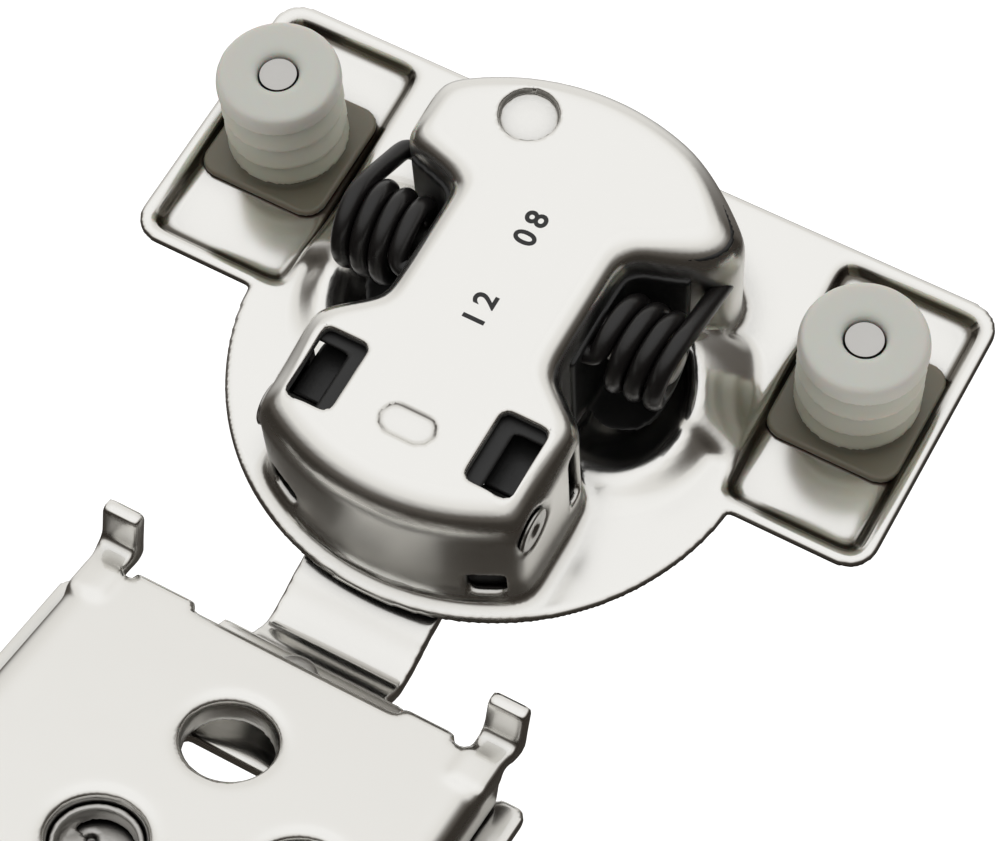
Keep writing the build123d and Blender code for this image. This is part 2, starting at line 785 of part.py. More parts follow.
# ---------------------------------------------------------------- frame bracket
holes = (hole_a, hole_b, hole_c)
with BuildPart() as frame_bracket:
    with BuildSketch(channel_plane) as channel:
        Rectangle(2 * bracket_half, hook_depth, align=(Align.CENTER, Align.MAX))
        fillet(channel.vertices().group_by(Axis.Y)[-1], bracket_bend)
    extrude(amount=bracket_length)
    with BuildSketch(channel_plane) as channel_inside:
        with Locations((0, -bracket_sheet)):
            Rectangle(2 * (bracket_half - bracket_sheet), hook_depth, align=(Align.CENTER, Align.MAX))
        fillet(channel_inside.vertices().group_by(Axis.Y)[-1], bracket_bend - bracket_sheet)
    extrude(amount=bracket_length, mode=Mode.SUBTRACT)
    under_slide = tail_top - slide_gap
    with BuildSketch(wall_plane):
        with BuildLine():
            Polyline(
                (-hook_front, -bracket_wall_depth),
                (hook_root, -bracket_wall_depth),
                (hook_root, under_slide),
                (hook_front, under_slide),
                (hook_front, -2 * hook_depth),
                (-hook_front, -2 * hook_depth),
                close=True,
            )
        make_face()
        with Locations((hook_back, -bracket_wall_depth)):
            Rectangle(bracket_length, hook_depth, align=(Align.MIN, Align.MAX))
    extrude(amount=2 * bracket_half, both=True, mode=Mode.SUBTRACT)
    with BuildSketch(bracket_plane):
        for first, last in (lip_left, lip_right):
            with Locations(((first + last) / 2, lip_height)):
                Rectangle(last - first, 2 * lip_height, align=(Align.CENTER, Align.MAX))
    extrude(amount=-bracket_sheet)
    with BuildSketch(bracket_plane.offset(-bracket_sheet)):
        for hole_x, hole_s, hole_radius in holes:
            with Locations((hole_x, -hole_s)):
                Circle(hole_radius + rim_sheet)
    extrude(amount=-rim_depth)
    for hole_x, hole_s, hole_radius in holes:
        with BuildSketch(bracket_plane):
            with Locations((hole_x, -hole_s)):
                Circle(hole_radius)
        extrude(amount=-hook_depth, mode=Mode.SUBTRACT)
    fillet(frame_bracket.edges().group_by(bracket_axis)[-1].filter_by(GeomType.CIRCLE), rim_round)
    for side in (-1, 1):
        with BuildSketch(wall_plane.offset(-side * ear_x)):
            with BuildLine():
                FilletPolyline(
                    (2 * bracket_sheet, -bracket_sheet / 2),
                    (bracket_sheet / 2 - ear_reach, -bracket_sheet / 2),
                    (bracket_sheet / 2 - ear_reach, ear_height),
                    radius=ear_bend,
                )
            trace(line_width=bracket_sheet)
        extrude(amount=ear_half_width, both=True)
    fillet(frame_bracket.edges().group_by(bracket_axis)[-1].filter_by(side_axis), ear_round)
frame_bracket.part.label = "frame_bracket"
export_step(frame_bracket.part, "parts/frame_bracket.step")
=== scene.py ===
import functools
import json
import math

import bpy
import numpy as np
from bpy.props import FloatProperty, FloatVectorProperty, PointerProperty
from bpy.types import Operator, Panel, PropertyGroup
from mathutils import Matrix, Vector


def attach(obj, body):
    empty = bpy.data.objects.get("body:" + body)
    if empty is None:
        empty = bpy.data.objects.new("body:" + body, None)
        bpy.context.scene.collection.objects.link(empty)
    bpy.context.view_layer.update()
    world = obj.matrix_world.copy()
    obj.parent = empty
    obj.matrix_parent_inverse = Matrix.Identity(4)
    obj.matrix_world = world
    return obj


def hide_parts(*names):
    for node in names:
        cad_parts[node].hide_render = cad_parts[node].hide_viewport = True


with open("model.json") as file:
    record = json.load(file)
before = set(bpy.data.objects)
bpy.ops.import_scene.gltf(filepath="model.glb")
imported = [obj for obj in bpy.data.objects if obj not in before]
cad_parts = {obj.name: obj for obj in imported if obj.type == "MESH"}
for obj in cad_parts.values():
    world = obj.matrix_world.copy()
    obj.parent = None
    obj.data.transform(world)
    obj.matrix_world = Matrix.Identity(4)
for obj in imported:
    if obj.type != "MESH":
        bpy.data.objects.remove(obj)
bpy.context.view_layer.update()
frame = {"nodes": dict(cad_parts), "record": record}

bl_info = {
    "name": "Concealed cup hinge",
    "version": (1, 0, 0),
    "blender": (4, 5, 0),
    "location": "View3D > Sidebar > Hinge",
    "description": "Dresses a concealed cup hinge and its studio",
    "category": "Object",
}

MM = 0.001


# ---------- settings
class HingeFinish(PropertyGroup):
    nickel_colour: FloatVectorProperty(
        name="Nickel colour", description="Reflection colour of the bright nickel plate",
        subtype="COLOR", size=4, default=(0.86, 0.85, 0.82, 1.0))
    nickel_roughness: FloatProperty(
        name="Nickel roughness", description="How blurred the plate's reflections are",
        default=0.16, min=0.0, max=1.0, subtype="FACTOR")
    zinc_colour: FloatVectorProperty(
        name="Pin colour", description="Reflection colour of the pins, rivets and screws",
        subtype="COLOR", size=4, default=(0.55, 0.54, 0.52, 1.0))
    spring_colour: FloatVectorProperty(
        name="Spring colour", description="Colour of the oiled black spring wire",
        subtype="COLOR", size=4, default=(0.009, 0.008, 0.008, 1.0))
    nylon_colour: FloatVectorProperty(
        name="Nylon colour", description="Colour of the milky press-in dowels",
        subtype="COLOR", size=4, default=(0.72, 0.735, 0.69, 1.0))
    # The black also colours the dark sheets of painted shade in the spring pockets.
    black_colour: FloatVectorProperty(
        name="Black plastic colour", description="Colour of the damper, spacers and pocket_shade_sheets",
        subtype="COLOR", size=4, default=(0.012, 0.012, 0.012, 1.0))


class HingeSizes(PropertyGroup):
    cup_grid: FloatProperty(
        name="Pressing grid", description="Spacing of the points that give cup and bracket",
        default=0.28 * MM, min=0.1 * MM, unit="LENGTH", precision=5)
    cup_sheet: FloatProperty(
        name="Cup sheet", description="Thickness of the cup's sheet",
        default=0.9 * MM, min=0.3 * MM, unit="LENGTH", precision=5)
    bracket_sheet: FloatProperty(
        name="Bracket sheet", description="Thickness of the bracket's sheet",
        default=1.2 * MM, min=0.3 * MM, unit="LENGTH", precision=5)
    wire_radius: FloatProperty(
        name="Spring wire radius", description="Radius of the springs' coated wire",
        default=0.69 * MM, min=0.2 * MM, unit="LENGTH", precision=5)
    number_height: FloatProperty(
        name="Number height", description="Type size of the numbers in the cup's bottom",
        default=2.2 * MM, min=0.5 * MM, unit="LENGTH", precision=5)


def size_mm(name):
    """One of the sizes above in millimetres, free of single-precision dust."""
    return round(getattr(bpy.context.scene.hinge_sizes, name) / MM, 4)


class HingeStage(PropertyGroup):
    floor_drop: FloatProperty(
        name="Floor drop", description="How far the floor lies below the hinge's origin",
        default=0.30, unit="LENGTH")
    lens: FloatProperty(
        name="Lens", description="Focal length on a 36 mm wide sensor, in millimetres",
        default=112.491, min=10.0)
    sky_strength: FloatProperty(
        name="Softbox strength", description="Brightness of the soft light overhead",
        default=1.0, min=0.0)


def show(thing):
    """Links an object into the scene."""
    bpy.context.scene.collection.objects.link(thing)


# ---------- materials
def new_material(name, colour, metallic, roughness):
    """A principled material with its constant values on its own sockets."""
    material = bpy.data.materials.new(name)
    material.use_nodes = True
    set_inputs(tree(material)[2], Base_Color=colour, Metallic=metallic, Roughness=roughness)
    return material


def tree(material):
    """A material's nodes, its links and its shader."""
    nodes = material.node_tree.nodes
    return nodes, material.node_tree.links, nodes["Principled BSDF"]


def set_inputs(node, **values):
    """Sets a node's inputs by their names, with _ for each space, and returns the node."""
    for name, value in values.items():
        node.inputs[name.replace("_", " ")].default_value = value
    return node


def noise_node(material, scale, detail):
    """Three-dimensional noise in object space; scale is in waves per metre."""
    nodes, links, _ = tree(material)
    place = nodes.new("ShaderNodeTexCoord")
    noise = set_inputs(nodes.new("ShaderNodeTexNoise"), Scale=scale, Detail=detail)
    links.new(place.outputs["Object"], noise.inputs["Vector"])
    return noise


def vary_roughness(material, scale, low, high):
    """Roughness that drifts between low and high over the surface."""
    nodes, links, shader = tree(material)
    noise = noise_node(material, scale, detail=3)
    spread = set_inputs(nodes.new("ShaderNodeMapRange"), To_Min=low, To_Max=high)
    links.new(noise.outputs["Fac"], spread.inputs["Value"])
    links.new(spread.outputs["Result"], shader.inputs["Roughness"])


def add_bump(material, scale, depth):
    """Fine unevenness; depth is in metres."""
    nodes, links, shader = tree(material)
    noise = noise_node(material, scale, detail=2)
    bump = set_inputs(nodes.new("ShaderNodeBump"), Distance=depth, Strength=1.0)
    links.new(noise.outputs["Fac"], bump.inputs["Height"])
    links.new(bump.outputs["Normal"], shader.inputs["Normal"])


NEARLY_FLAT = 0.75  # upward part of the normal above which a face counts as flat
UPRIGHT = 0.15


def roughen_walls(material, extra):
    """Drawn walls are duller than flat faces: roughness rises as the surface turns steep."""
    nodes, links, shader = tree(material)
    drift = shader.inputs["Roughness"].links[0].from_socket
    shape = nodes.new("ShaderNodeNewGeometry")
    split = nodes.new("ShaderNodeSeparateXYZ")
    flat = nodes.new("ShaderNodeMath")
    flat.operation = "ABSOLUTE"
    steep = nodes.new("ShaderNodeMapRange")
    steep.interpolation_type = "SMOOTHSTEP"
    set_inputs(steep, From_Min=NEARLY_FLAT, From_Max=UPRIGHT, To_Max=extra)
    total = nodes.new("ShaderNodeMath")
    total.operation = "ADD"
    links.new(shape.outputs["Normal"], split.inputs["Vector"])
    links.new(split.outputs["Z"], flat.inputs[0])
    links.new(flat.outputs["Value"], steep.inputs["Value"])
    links.new(steep.outputs["Result"], total.inputs[0])
    links.new(drift, total.inputs[1])
    links.new(total.outputs["Value"], shader.inputs["Roughness"])


# Painted shade: the colour that creases and covered strips darken towards.
CREASE_SHADE_COLOUR = (0.05, 0.045, 0.04)
CREASE_SHUT = 0.22  # open share of the sky at which a crease is fully dark
CREASE_OPEN = 0.9


def paint_crease_shade(material, colour, distance):
    """Paints shade into inside corners and covered strips: their base colour darkens where little
    sky reaches; distance is in metres.
    """
    nodes, links, shader = tree(material)
    room = set_inputs(nodes.new("ShaderNodeAmbientOcclusion"), Distance=distance)
    room.samples = 6
    ramp = nodes.new("ShaderNodeValToRGB")
    set_ramp(ramp, ((CREASE_SHUT, CREASE_SHADE_COLOUR), (CREASE_OPEN, tuple(colour)[:3])))
    links.new(room.outputs["AO"], ramp.inputs["Fac"])
    links.new(ramp.outputs["Color"], shader.inputs["Base Color"])


def set_ramp(ramp, stops):
    """Eased colour stops on a ramp that still has its first two."""
    ramp.color_ramp.interpolation = "EASE"
    elements = ramp.color_ramp.elements
    while len(elements) < len(stops):
        elements.new(1.0)
    for element, (place, colour) in zip(elements, stops):
        element.position = place
        element.color = (*colour, 1)


def shade_colour(material, value, stops):
    """Multiplies the base colour by a ramp that one value drives."""
    nodes, links, shader = tree(material)
    ramp = nodes.new("ShaderNodeValToRGB")
    set_ramp(ramp, stops)
    blend = nodes.new("ShaderNodeMix")
    blend.data_type = "RGBA"
    blend.blend_type = "MULTIPLY"
    set_inputs(blend, Factor=1.0)
    base = shader.inputs["Base Color"]
    links.new(value, ramp.inputs["Fac"])
    links.new(base.links[0].from_socket, blend.inputs["A"])
    links.new(ramp.outputs["Color"], blend.inputs["B"])
    links.new(blend.outputs["Result"], base)


def object_height(material, low, high):
    """A value that runs from 0 to 1 between two heights on the piece."""
    nodes, links, _ = tree(material)
    place = nodes.new("ShaderNodeTexCoord")
    split = nodes.new("ShaderNodeSeparateXYZ")
    span = set_inputs(nodes.new("ShaderNodeMapRange"), From_Min=low, From_Max=high)
    links.new(place.outputs["Object"], split.inputs["Vector"])
    links.new(split.outputs["Z"], span.inputs["Value"])
    return span.outputs["Result"]


def nickel_material(name, finish):
    """Bright plate, duller on drawn walls, with painted shade darkening its creases."""
    blurred = finish.nickel_roughness
    material = new_material(name, finish.nickel_colour, metallic=1.0, roughness=blurred)
    vary_roughness(material, scale=220, low=blurred * 0.8, high=blurred * 1.3)
    roughen_walls(material, extra=0.2)
    # Painted shade: the creases darken where little sky reaches them.
    paint_crease_shade(material, finish.nickel_colour, distance=3.2 * MM)
    add_bump(material, scale=160, depth=0.02 * MM)
    return material


PLAIN = (1.0, 1.0, 1.0)
TRAY_SHADE = (0.2, 0.185, 0.165)


def tray_material(name, finish):
    """Bright plate whose shallow tray walls lie in shade."""
    material = nickel_material(name, finish)
    height = object_height(material, low=-1.2 * MM, high=0.3 * MM)
    stops = ((0.21, PLAIN), (0.31, TRAY_SHADE), (0.62, TRAY_SHADE), (0.78, PLAIN))
    shade_colour(material, height, stops)
    return material


def zinc_material(name, finish):
    """Duller plate of pins, rivets and screws."""
    material = new_material(name, finish.zinc_colour, metallic=1.0, roughness=0.3)
    vary_roughness(material, scale=900, low=0.24, high=0.4)
    # Painted shade: the pins' creases and sunk faces darken where little sky reaches them.
    paint_crease_shade(material, finish.zinc_colour, distance=1.2 * MM)
    add_bump(material, scale=1800, depth=0.02 * MM)
    return material


def spring_material(name, finish):
    """Black coated spring wire."""
    material = new_material(name, finish.spring_colour, metallic=0.0, roughness=0.34)
    vary_roughness(material, scale=1400, low=0.24, high=0.36)
    add_bump(material, scale=2600, depth=0.01 * MM)
    return material


PAD_COLOUR = (0.26, 0.245, 0.21, 1)
# The dowel's colour is multiplied darker and yellower towards its foot.
FOOT_DARKENING = ((0.0, (0.72, 0.7, 0.6)), (0.55, (0.9, 0.89, 0.82)), (1.0, PLAIN))


def nylon_material(name, finish):
    """Milky nylon, darker and yellower towards the foot of a dowel and grey-brown on its thin pad.
    """
    material = new_material(name, finish.nylon_colour, metallic=0.0, roughness=0.38)
    nodes, links, shader = tree(material)
    set_inputs(shader, Subsurface_Weight=0.35, Subsurface_Scale=1.5 * MM)
    tint = nodes.new("ShaderNodeMix")
    tint.data_type = "RGBA"
    set_inputs(tint, A=PAD_COLOUR, B=finish.nylon_colour)
    above_pad = object_height(material, low=-0.2 * MM, high=0.6 * MM)
    links.new(above_pad, tint.inputs["Factor"])
    links.new(tint.outputs["Result"], shader.inputs["Base Color"])
    # Darker and yellower towards the foot of the dowel.
    shade_colour(material, object_height(material, low=0.0, high=9.5 * MM), FOOT_DARKENING)
    add_bump(material, scale=900, depth=0.01 * MM)
    return material


def black_material(name, finish):
    """Matt black moulding."""
    material = new_material(name, finish.black_colour, metallic=0.0, roughness=0.4)
    vary_roughness(material, scale=1200, low=0.35, high=0.5)
    add_bump(material, scale=3000, depth=0.01 * MM)
    return material


FINISHES = {
    "nickel": ("bright_nickel", nickel_material),
    "tray_nickel": ("bright_nickel_with_trays", tray_material),
    "zinc": ("plated_pins", zinc_material),
    "spring_steel": ("black_spring_wire", spring_material),
    "nylon": ("milky_nylon", nylon_material),
    "black_plastic": ("black_moulding", black_material),
}


def finish_for(slot):
    """The material of one of the record's slots, or of the trayed cup, made once."""
    name, make = FINISHES[slot]
    known = bpy.data.materials.get(name)
    return make(name, bpy.context.scene.hinge_finish) if known is None else known


def dress(piece, slot):
    """Gives one object a slot's finish in place of any that it has."""
    piece.data.materials.clear()
    piece.data.materials.append(finish_for(slot))


NODE_SLOTS = {row["node"]: row["material_slot"] for row in frame["record"]["subparts"]}


def dress_nodes(*nodes):
    """Gives CAD nodes the finish that the record names for them."""
    for node in nodes:
        dress(frame["nodes"][node], NODE_SLOTS[node])


# ---------- soft pressings
# Shapes are fields in millimetres, negative inside, on a block of points.
def smooth_step(value, low, high):
    """0 below low, 1 above high, eased between."""
    share = np.clip((value - low) / (high - low), 0, 1)
    return share * share * (3 - 2 * share)


def round_meet(a, b, radius):
    """Where both fields are inside, with the edge between them rounded."""
    return (np.minimum(np.maximum(a, b), -radius)
            + np.hypot(np.maximum(a + radius, 0), np.maximum(b + radius, 0)))


def round_join(a, b, radius):
    """Where either field is inside, with the corner between them filled by a fillet."""
    return -round_meet(-a, -b, radius)


def round_cut(a, b, radius):
    """The first field without the second."""
    return round_meet(a, -b, radius)


def disc(x, y, centre, radius):
    """Distance to a circle."""
    return np.hypot(x - centre[0], y - centre[1]) - radius


def rounded_box(x, y, centre, half, corner):
    """Distance to a rectangle with rounded corners."""
    across = np.abs(x - centre[0]) - half[0] + corner
    along = np.abs(y - centre[1]) - half[1] + corner
    return (np.minimum(np.maximum(across, along), 0)
            + np.hypot(np.maximum(across, 0), np.maximum(along, 0)) - corner)


def capsule(x, y, start, end, radius):
    """Distance to a line between two points, less a radius."""
    run_x, run_y = end[0] - start[0], end[1] - start[1]
    share = ((x - start[0]) * run_x + (y - start[1]) * run_y) / (run_x ** 2 + run_y ** 2)
    share = np.clip(share, 0, 1)
    return np.hypot(x - start[0] - share * run_x, y - start[1] - share * run_y) - radius


def polygon(x, y, corners):
    """Signed distance to a closed outline."""
    x, y = np.broadcast_arrays(x, y)
    nearest = np.full(x.shape, np.inf)
    odd = np.zeros(x.shape, bool)
    for (ax, ay), (bx, by) in zip(corners, corners[1:] + corners[:1]):
        nearest = np.minimum(nearest, capsule(x, y, (ax, ay), (bx, by), 0))
        if ay != by:
            crosses = (ay > y) != (by > y)
            odd ^= crosses & (x < (bx - ax) * (y - ay) / (by - ay) + ax)
    return np.where(odd, -nearest, nearest)


def blur(values, width, step, axes):
    """Softens a field by a bell curve of the given width in millimetres."""
    reach = max(1, int(3 * width / step))
    weights = np.exp(-0.5 * (np.arange(-reach, reach + 1) * step / width) ** 2)
    weights /= weights.sum()
    for axis in axes:
        margins = [(reach, reach) if a == axis else (0, 0) for a in range(values.ndim)]
        padded = np.pad(values, margins, mode="reflect", reflect_type="odd")
        size = values.shape[axis]
        values = sum(weight * np.take(padded, range(i, i + size), axis)
                     for i, weight in enumerate(weights))
    return values


class Block:
    """A regular grid of points in millimetres."""

    def __init__(self, low, high, step):
        self.step = step
        self.low = np.array(low, float)
        counts = [int(math.ceil((b - a) / step)) + 1 for a, b in zip(low, high)]
        axes = [a + step * np.arange(n) for a, n in zip(low, counts)]
        shapes = ((-1, 1, 1), (1, -1, 1), (1, 1, -1))
        self.xyz = [a.reshape(shape).astype(np.float32) for a, shape in zip(axes, shapes)]


CELL_CORNERS = [(i, j, k) for k in (0, 1) for j in (0, 1) for i in (0, 1)]
CELL_EDGES = [(start, start[:axis] + (1,) + start[axis + 1:])
              for axis in range(3) for start in CELL_CORNERS if start[axis] == 0]


def skin(block, values):
    """Vertices and quads of a field's zero surface, one vertex in each cell that it crosses."""
    inside = values < 0
    size = [n - 1 for n in values.shape]

    def corner(array, offset):
        return array[tuple(slice(o, o + n) for o, n in zip(offset, size))]

    count = sum(corner(inside, offset).astype(np.int8) for offset in CELL_CORNERS)
    cells = np.argwhere((count > 0) & (count < len(CELL_CORNERS)))
    place = np.full(size, -1, np.int64)
    place[tuple(cells.T)] = np.arange(len(cells))
    total = np.zeros((len(cells), 3))
    hits = np.zeros(len(cells))
    for start, end in CELL_EDGES:
        a = values[tuple((cells + start).T)].astype(float)
        b = values[tuple((cells + end).T)].astype(float)
        crosses = (a < 0) != (b < 0)
        share = np.where(crosses, a / np.where(crosses, a - b, 1), 0)[:, None]
        point = np.array(start) + share * (np.array(end) - np.array(start))
        total += np.where(crosses[:, None], point, 0)
        hits += crosses
    points = block.low + block.step * (cells + total / hits[:, None])
    quads = []
    for axis in range(3):
        second, third = (axis + 1) % 3, (axis + 2) % 3
        ends = [slice(None)] * 3
        ends[axis] = slice(0, -1)
        ends[second] = ends[third] = slice(1, -1)
        shifted = list(ends)
        shifted[axis] = slice(1, None)
        here, there = inside[tuple(ends)], inside[tuple(shifted)]
        for solid_first in (True, False):
            found = np.argwhere(here & ~there if solid_first else there & ~here)
            ring = []
            for on_second, on_third in ((0, 0), (1, 0), (1, 1), (0, 1)):
                cell = found.copy()
                cell[:, second] += on_second
                cell[:, third] += on_third
                ring.append(place[tuple(cell.T)])
            ring = np.stack(ring, 1)
            quads.append(ring if solid_first else ring[:, ::-1])
    return points, np.concatenate(quads)


def mesh_piece(name, points, faces, body, slot, replaces=()):
    """Links a smooth mesh given in millimetres, rides it on its body and gives it its finish."""
    mesh = bpy.data.meshes.new(name)
    mesh.from_pydata((np.asarray(points) * MM).tolist(), [], faces)
    mesh.validate()
    mesh.polygons.foreach_set("use_smooth", [True] * len(mesh.polygons))
    mesh.materials.append(finish_for(slot))
    piece = bpy.data.objects.new(name, mesh)
    show(piece)
    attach(piece, body)
    if replaces:
        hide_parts(*replaces)
    return piece


def pressed_piece(name, block, values, body, slot, replaces, place=None):
    """The skin of a field, moved from the block's own frame where a place is given."""
    points, quads = skin(block, values)
    if place is not None:
        points = points @ np.array(place.to_3x3()).T + np.array(place.translation)
    return mesh_piece(name, points, quads.tolist(), body, slot, replaces)


# ---------- cup
CUP_RADIUS = 17.4
CUP_DEPTH = 11.2
CUP_BLOCK = ((-29.4, -19.6, -2.6), (29.4, 20.6, 11.9))
KNUCKLE = (-12.7, 7.6)  # y and z of the knuckle pin
AXLE = (2.6, 6.7)  # y and z of the springs' axle
FLANGE_RADIUS = 18.9
WING_MIDDLE = (0, 8.8)
WING_HALF = (28.75, 11.1)
WING_CORNER = 2.2
TRAY_SIDE = 27.55
TRAY_FRONT, TRAY_BACK = -1.1, 18.7
TRAY_INNER = 17.1  # half distance between the two trays at their back
TRAY_DEPTH = 0.9
TRAY_CLEAR = 16.9  # radius that the trays stay outside
DOWEL_SPREAD = 22.5
DOWEL_LINE = 9.5
WAIST_HALF = 6.5
WAIST_BACK = 6.4
FRONT_HALF = 10
SHOULDER_REACH = ((-1, 11.4), (1, 13.8))
SHOULDER_SLOPE = 0.29
SHOULDER_BEVEL = [(11.03, 6), (13.9, 12), (20, 12), (20, 6)]
BEYOND = (40, 30)  # safely outside the cup
POCKET_REACH = 17.9
BOWL_MIDDLE = (8.4, 0.9)
BOWL_HALF = (5.5, 6.2)
BOWL_SCALE = 5.6
APRON = 2.1  # width of the rim in front of a pocket
APRON_SHARE = 0.85
CREST_LOW = 0.6
CREST_RISE = 3.1
CREST_FRONT, CREST_RUN = 6, 12.5  # the crest climbs from 6 mm in front of the middle
POCKET_INNER = 6.2
SLIVER = 0.01  # keeps a ratio of two widths finite


def cup_plan(x, y, step):
    """The stepped outline of the cup: a round blank with a waist that clears both springs."""
    plan = disc(x, y, (0, 0), CUP_RADIUS)
    far_x, far_y = BEYOND
    for side, reach in SHOULDER_REACH:
        shoulder = WAIST_BACK + SHOULDER_SLOPE * (reach - WAIST_HALF)
        notch = [(FRONT_HALF, -6.2), (WAIST_HALF, -3.2), (WAIST_HALF, WAIST_BACK),
                 (reach, shoulder), (reach, far_y), (far_x, far_y), (far_x, -far_y),
                 (FRONT_HALF, -far_y)]
        notch = [(side * across, ahead) for across, ahead in notch]
        plan = np.maximum(plan, -polygon(x, y, notch))
    plan = round_cut(plan, polygon(x, y, SHOULDER_BEVEL), 1.5)
    return blur(plan, 0.65, step, (0, 1))


def pocket_height(x, y, side, step):
    """Height of a spring pocket's dished floor, the flank behind it and the apron in front."""
    crest = CREST_LOW + CREST_RISE * np.clip((y + CREST_FRONT) / CREST_RUN, 0, 1)
    radius = np.hypot(x, y)
    across = (x - side * BOWL_MIDDLE[0]) / BOWL_HALF[0]
    along_bowl = (y - BOWL_MIDDLE[1]) / BOWL_HALF[1]
    bowl = (np.hypot(across, along_bowl) - 1) * BOWL_SCALE
    outside = np.maximum(bowl, SLIVER)
    flank_room = np.maximum(POCKET_REACH - radius, SLIVER)
    apron_room = np.maximum(APRON - bowl, SLIVER)
    flank = flank_room / (flank_room + outside) * (radius < POCKET_REACH)
    flank = flank * smooth_step(y, 0.6, 1.4)
    apron = APRON_SHARE * apron_room / (apron_room + outside) * (bowl < APRON)
    height = crest * np.maximum(flank, apron) * smooth_step(bowl, -4.2, 0.3)
    height = height * (side * x > POCKET_INNER) * smooth_step(-np.abs(y - 1.0), -9.5, -7.5)
    return blur(height, 0.3, step, (0, 1))


def cup_face(block):
    """The outer face of the pressing: cup, flange, pocket ridges and wing trays."""
    x, y, z = block.xyz
    plan = cup_plan(x, y, block.step)
    front_edge = 0.9 * smooth_step(-y, 6, 12)
    right_shoulder = 1.4 * smooth_step(x, 6, 12) * smooth_step(y, 4, 8)
    face = round_meet(plan, z - CUP_DEPTH, 1.9 + front_edge + right_shoulder)
    face = round_join(face, z, 0.9 + 0.7 * smooth_step(-y, 4, 10))
    for side in (-1, 1):
        height = pocket_height(x, y, side, block.step)
        face = round_join(face, (z - height) * 0.75, 0.3)
    for side in (-1, 1):
        inner_front = TRAY_INNER + 0.7 * side
        corners = [(side * inner_front, TRAY_FRONT), (side * TRAY_SIDE, TRAY_FRONT),
                   (side * TRAY_SIDE, TRAY_BACK), (side * TRAY_INNER, TRAY_BACK)]
        tray = np.maximum(polygon(x, y, corners), TRAY_CLEAR - np.hypot(x, y))
        tray = blur(tray, 0.5, block.step, (0, 1))
        tray = round_meet(tray, -TRAY_DEPTH - z, 0.8)
        face = round_cut(face, tray, 0.65)
    return blur(face, 0.22, block.step, (0, 1, 2))


# Openings: the middle and half size of each, in the two directions that its name gives.
WINDOW_XY = ((6.67, -10.2), (1.67, 2.7))
SIDE_SLOT_YZ = ((-7.2, 5.65), (0.8, 3.45))
FRONT_SLOT_XZ = ((7.6, 2.55), (1.2, 1.25))
OPENING_CORNER = 0.5
KNUCKLE_HOLE, KNUCKLE_DISH = 1.29, 1.9
AXLE_HOLE = 1.55
DOWEL_HOLE = 1.7
OBLONG_ENDS = ((-0.9, -11.3), (0.9, -11.3))
OBLONG_RADIUS, OBLONG_FLOOR = 1.1, 10.85
DIMPLE_MIDDLE = (-4.45, 12.95)
DIMPLE_RADIUS, DIMPLE_FLOOR = 2.05, 10.5


def cup_holes(block):
    """Everything punched through the pressing."""
    x, y, z = block.xyz
    across = np.abs(x)
    window = rounded_box(across, y, *WINDOW_XY, OPENING_CORNER)
    side_slot = rounded_box(y, z, *SIDE_SLOT_YZ, OPENING_CORNER)
    front_slot = rounded_box(across, z, *FRONT_SLOT_XZ, OPENING_CORNER)
    return functools.reduce(np.minimum, (
        np.maximum(window, 9.3 - z),
        np.maximum(side_slot, 8.5 - across),
        np.maximum(front_slot, y + 12.7),
        disc(across, y, (DOWEL_SPREAD, DOWEL_LINE), DOWEL_HOLE) + 0 * z,
        np.maximum(disc(y, z, KNUCKLE, KNUCKLE_HOLE), across - 10.5),
        np.maximum(disc(y, z, KNUCKLE, KNUCKLE_DISH), np.abs(across - 10.2) - 0.55),
        np.maximum(disc(y, z, AXLE, AXLE_HOLE), across - 8),
    ))


def make_cup():
    """One sheet of even thickness, pressed to the cup's outer face, then trimmed and punched."""
    block = Block(*CUP_BLOCK, size_mm("cup_grid"))
    x, y, z = block.xyz
    face = cup_face(block)
    oblong = capsule(x, y, *OBLONG_ENDS, OBLONG_RADIUS)
    face = round_cut(face, round_meet(oblong, OBLONG_FLOOR - z, 0.1), 0.1)
    dimple = disc(x, y, DIMPLE_MIDDLE, DIMPLE_RADIUS)
    face = round_cut(face, round_meet(dimple, DIMPLE_FLOOR - z, 0.15), 0.12)
    sheet = round_meet(face, -face - size_mm("cup_sheet"), 0.2)
    wings = rounded_box(x, y, WING_MIDDLE, WING_HALF, WING_CORNER)
    outline = np.minimum(disc(x, y, (0, 0), FLANGE_RADIUS), wings)
    sheet = round_meet(sheet, outline, 0.22)
    sheet = round_cut(sheet, cup_holes(block), 0.18)
    piece = pressed_piece("pressed_cup", block, sheet, "cup", "nickel", ("cup_pressing",))
    dress(piece, "tray_nickel")


# ---------- frames of the leaning parts
LEAN = math.radians(17.05)
BRACKET_Y, BRACKET_Z = -26.94, 5.18  # the middle of the bracket's front edge, on its face
BRACKET_PLACE = Matrix((
    (1, 0, 0, 0),
    (0, math.cos(LEAN), math.sin(LEAN), BRACKET_Y),
    (0, -math.sin(LEAN), math.cos(LEAN), BRACKET_Z),
    (0, 0, 0, 1),
))


def bracket_point(x, s, h):
    """The hinge's coordinates of a point at x, s along the bracket and h above its face."""
    return BRACKET_PLACE @ Vector((x, -s, h))


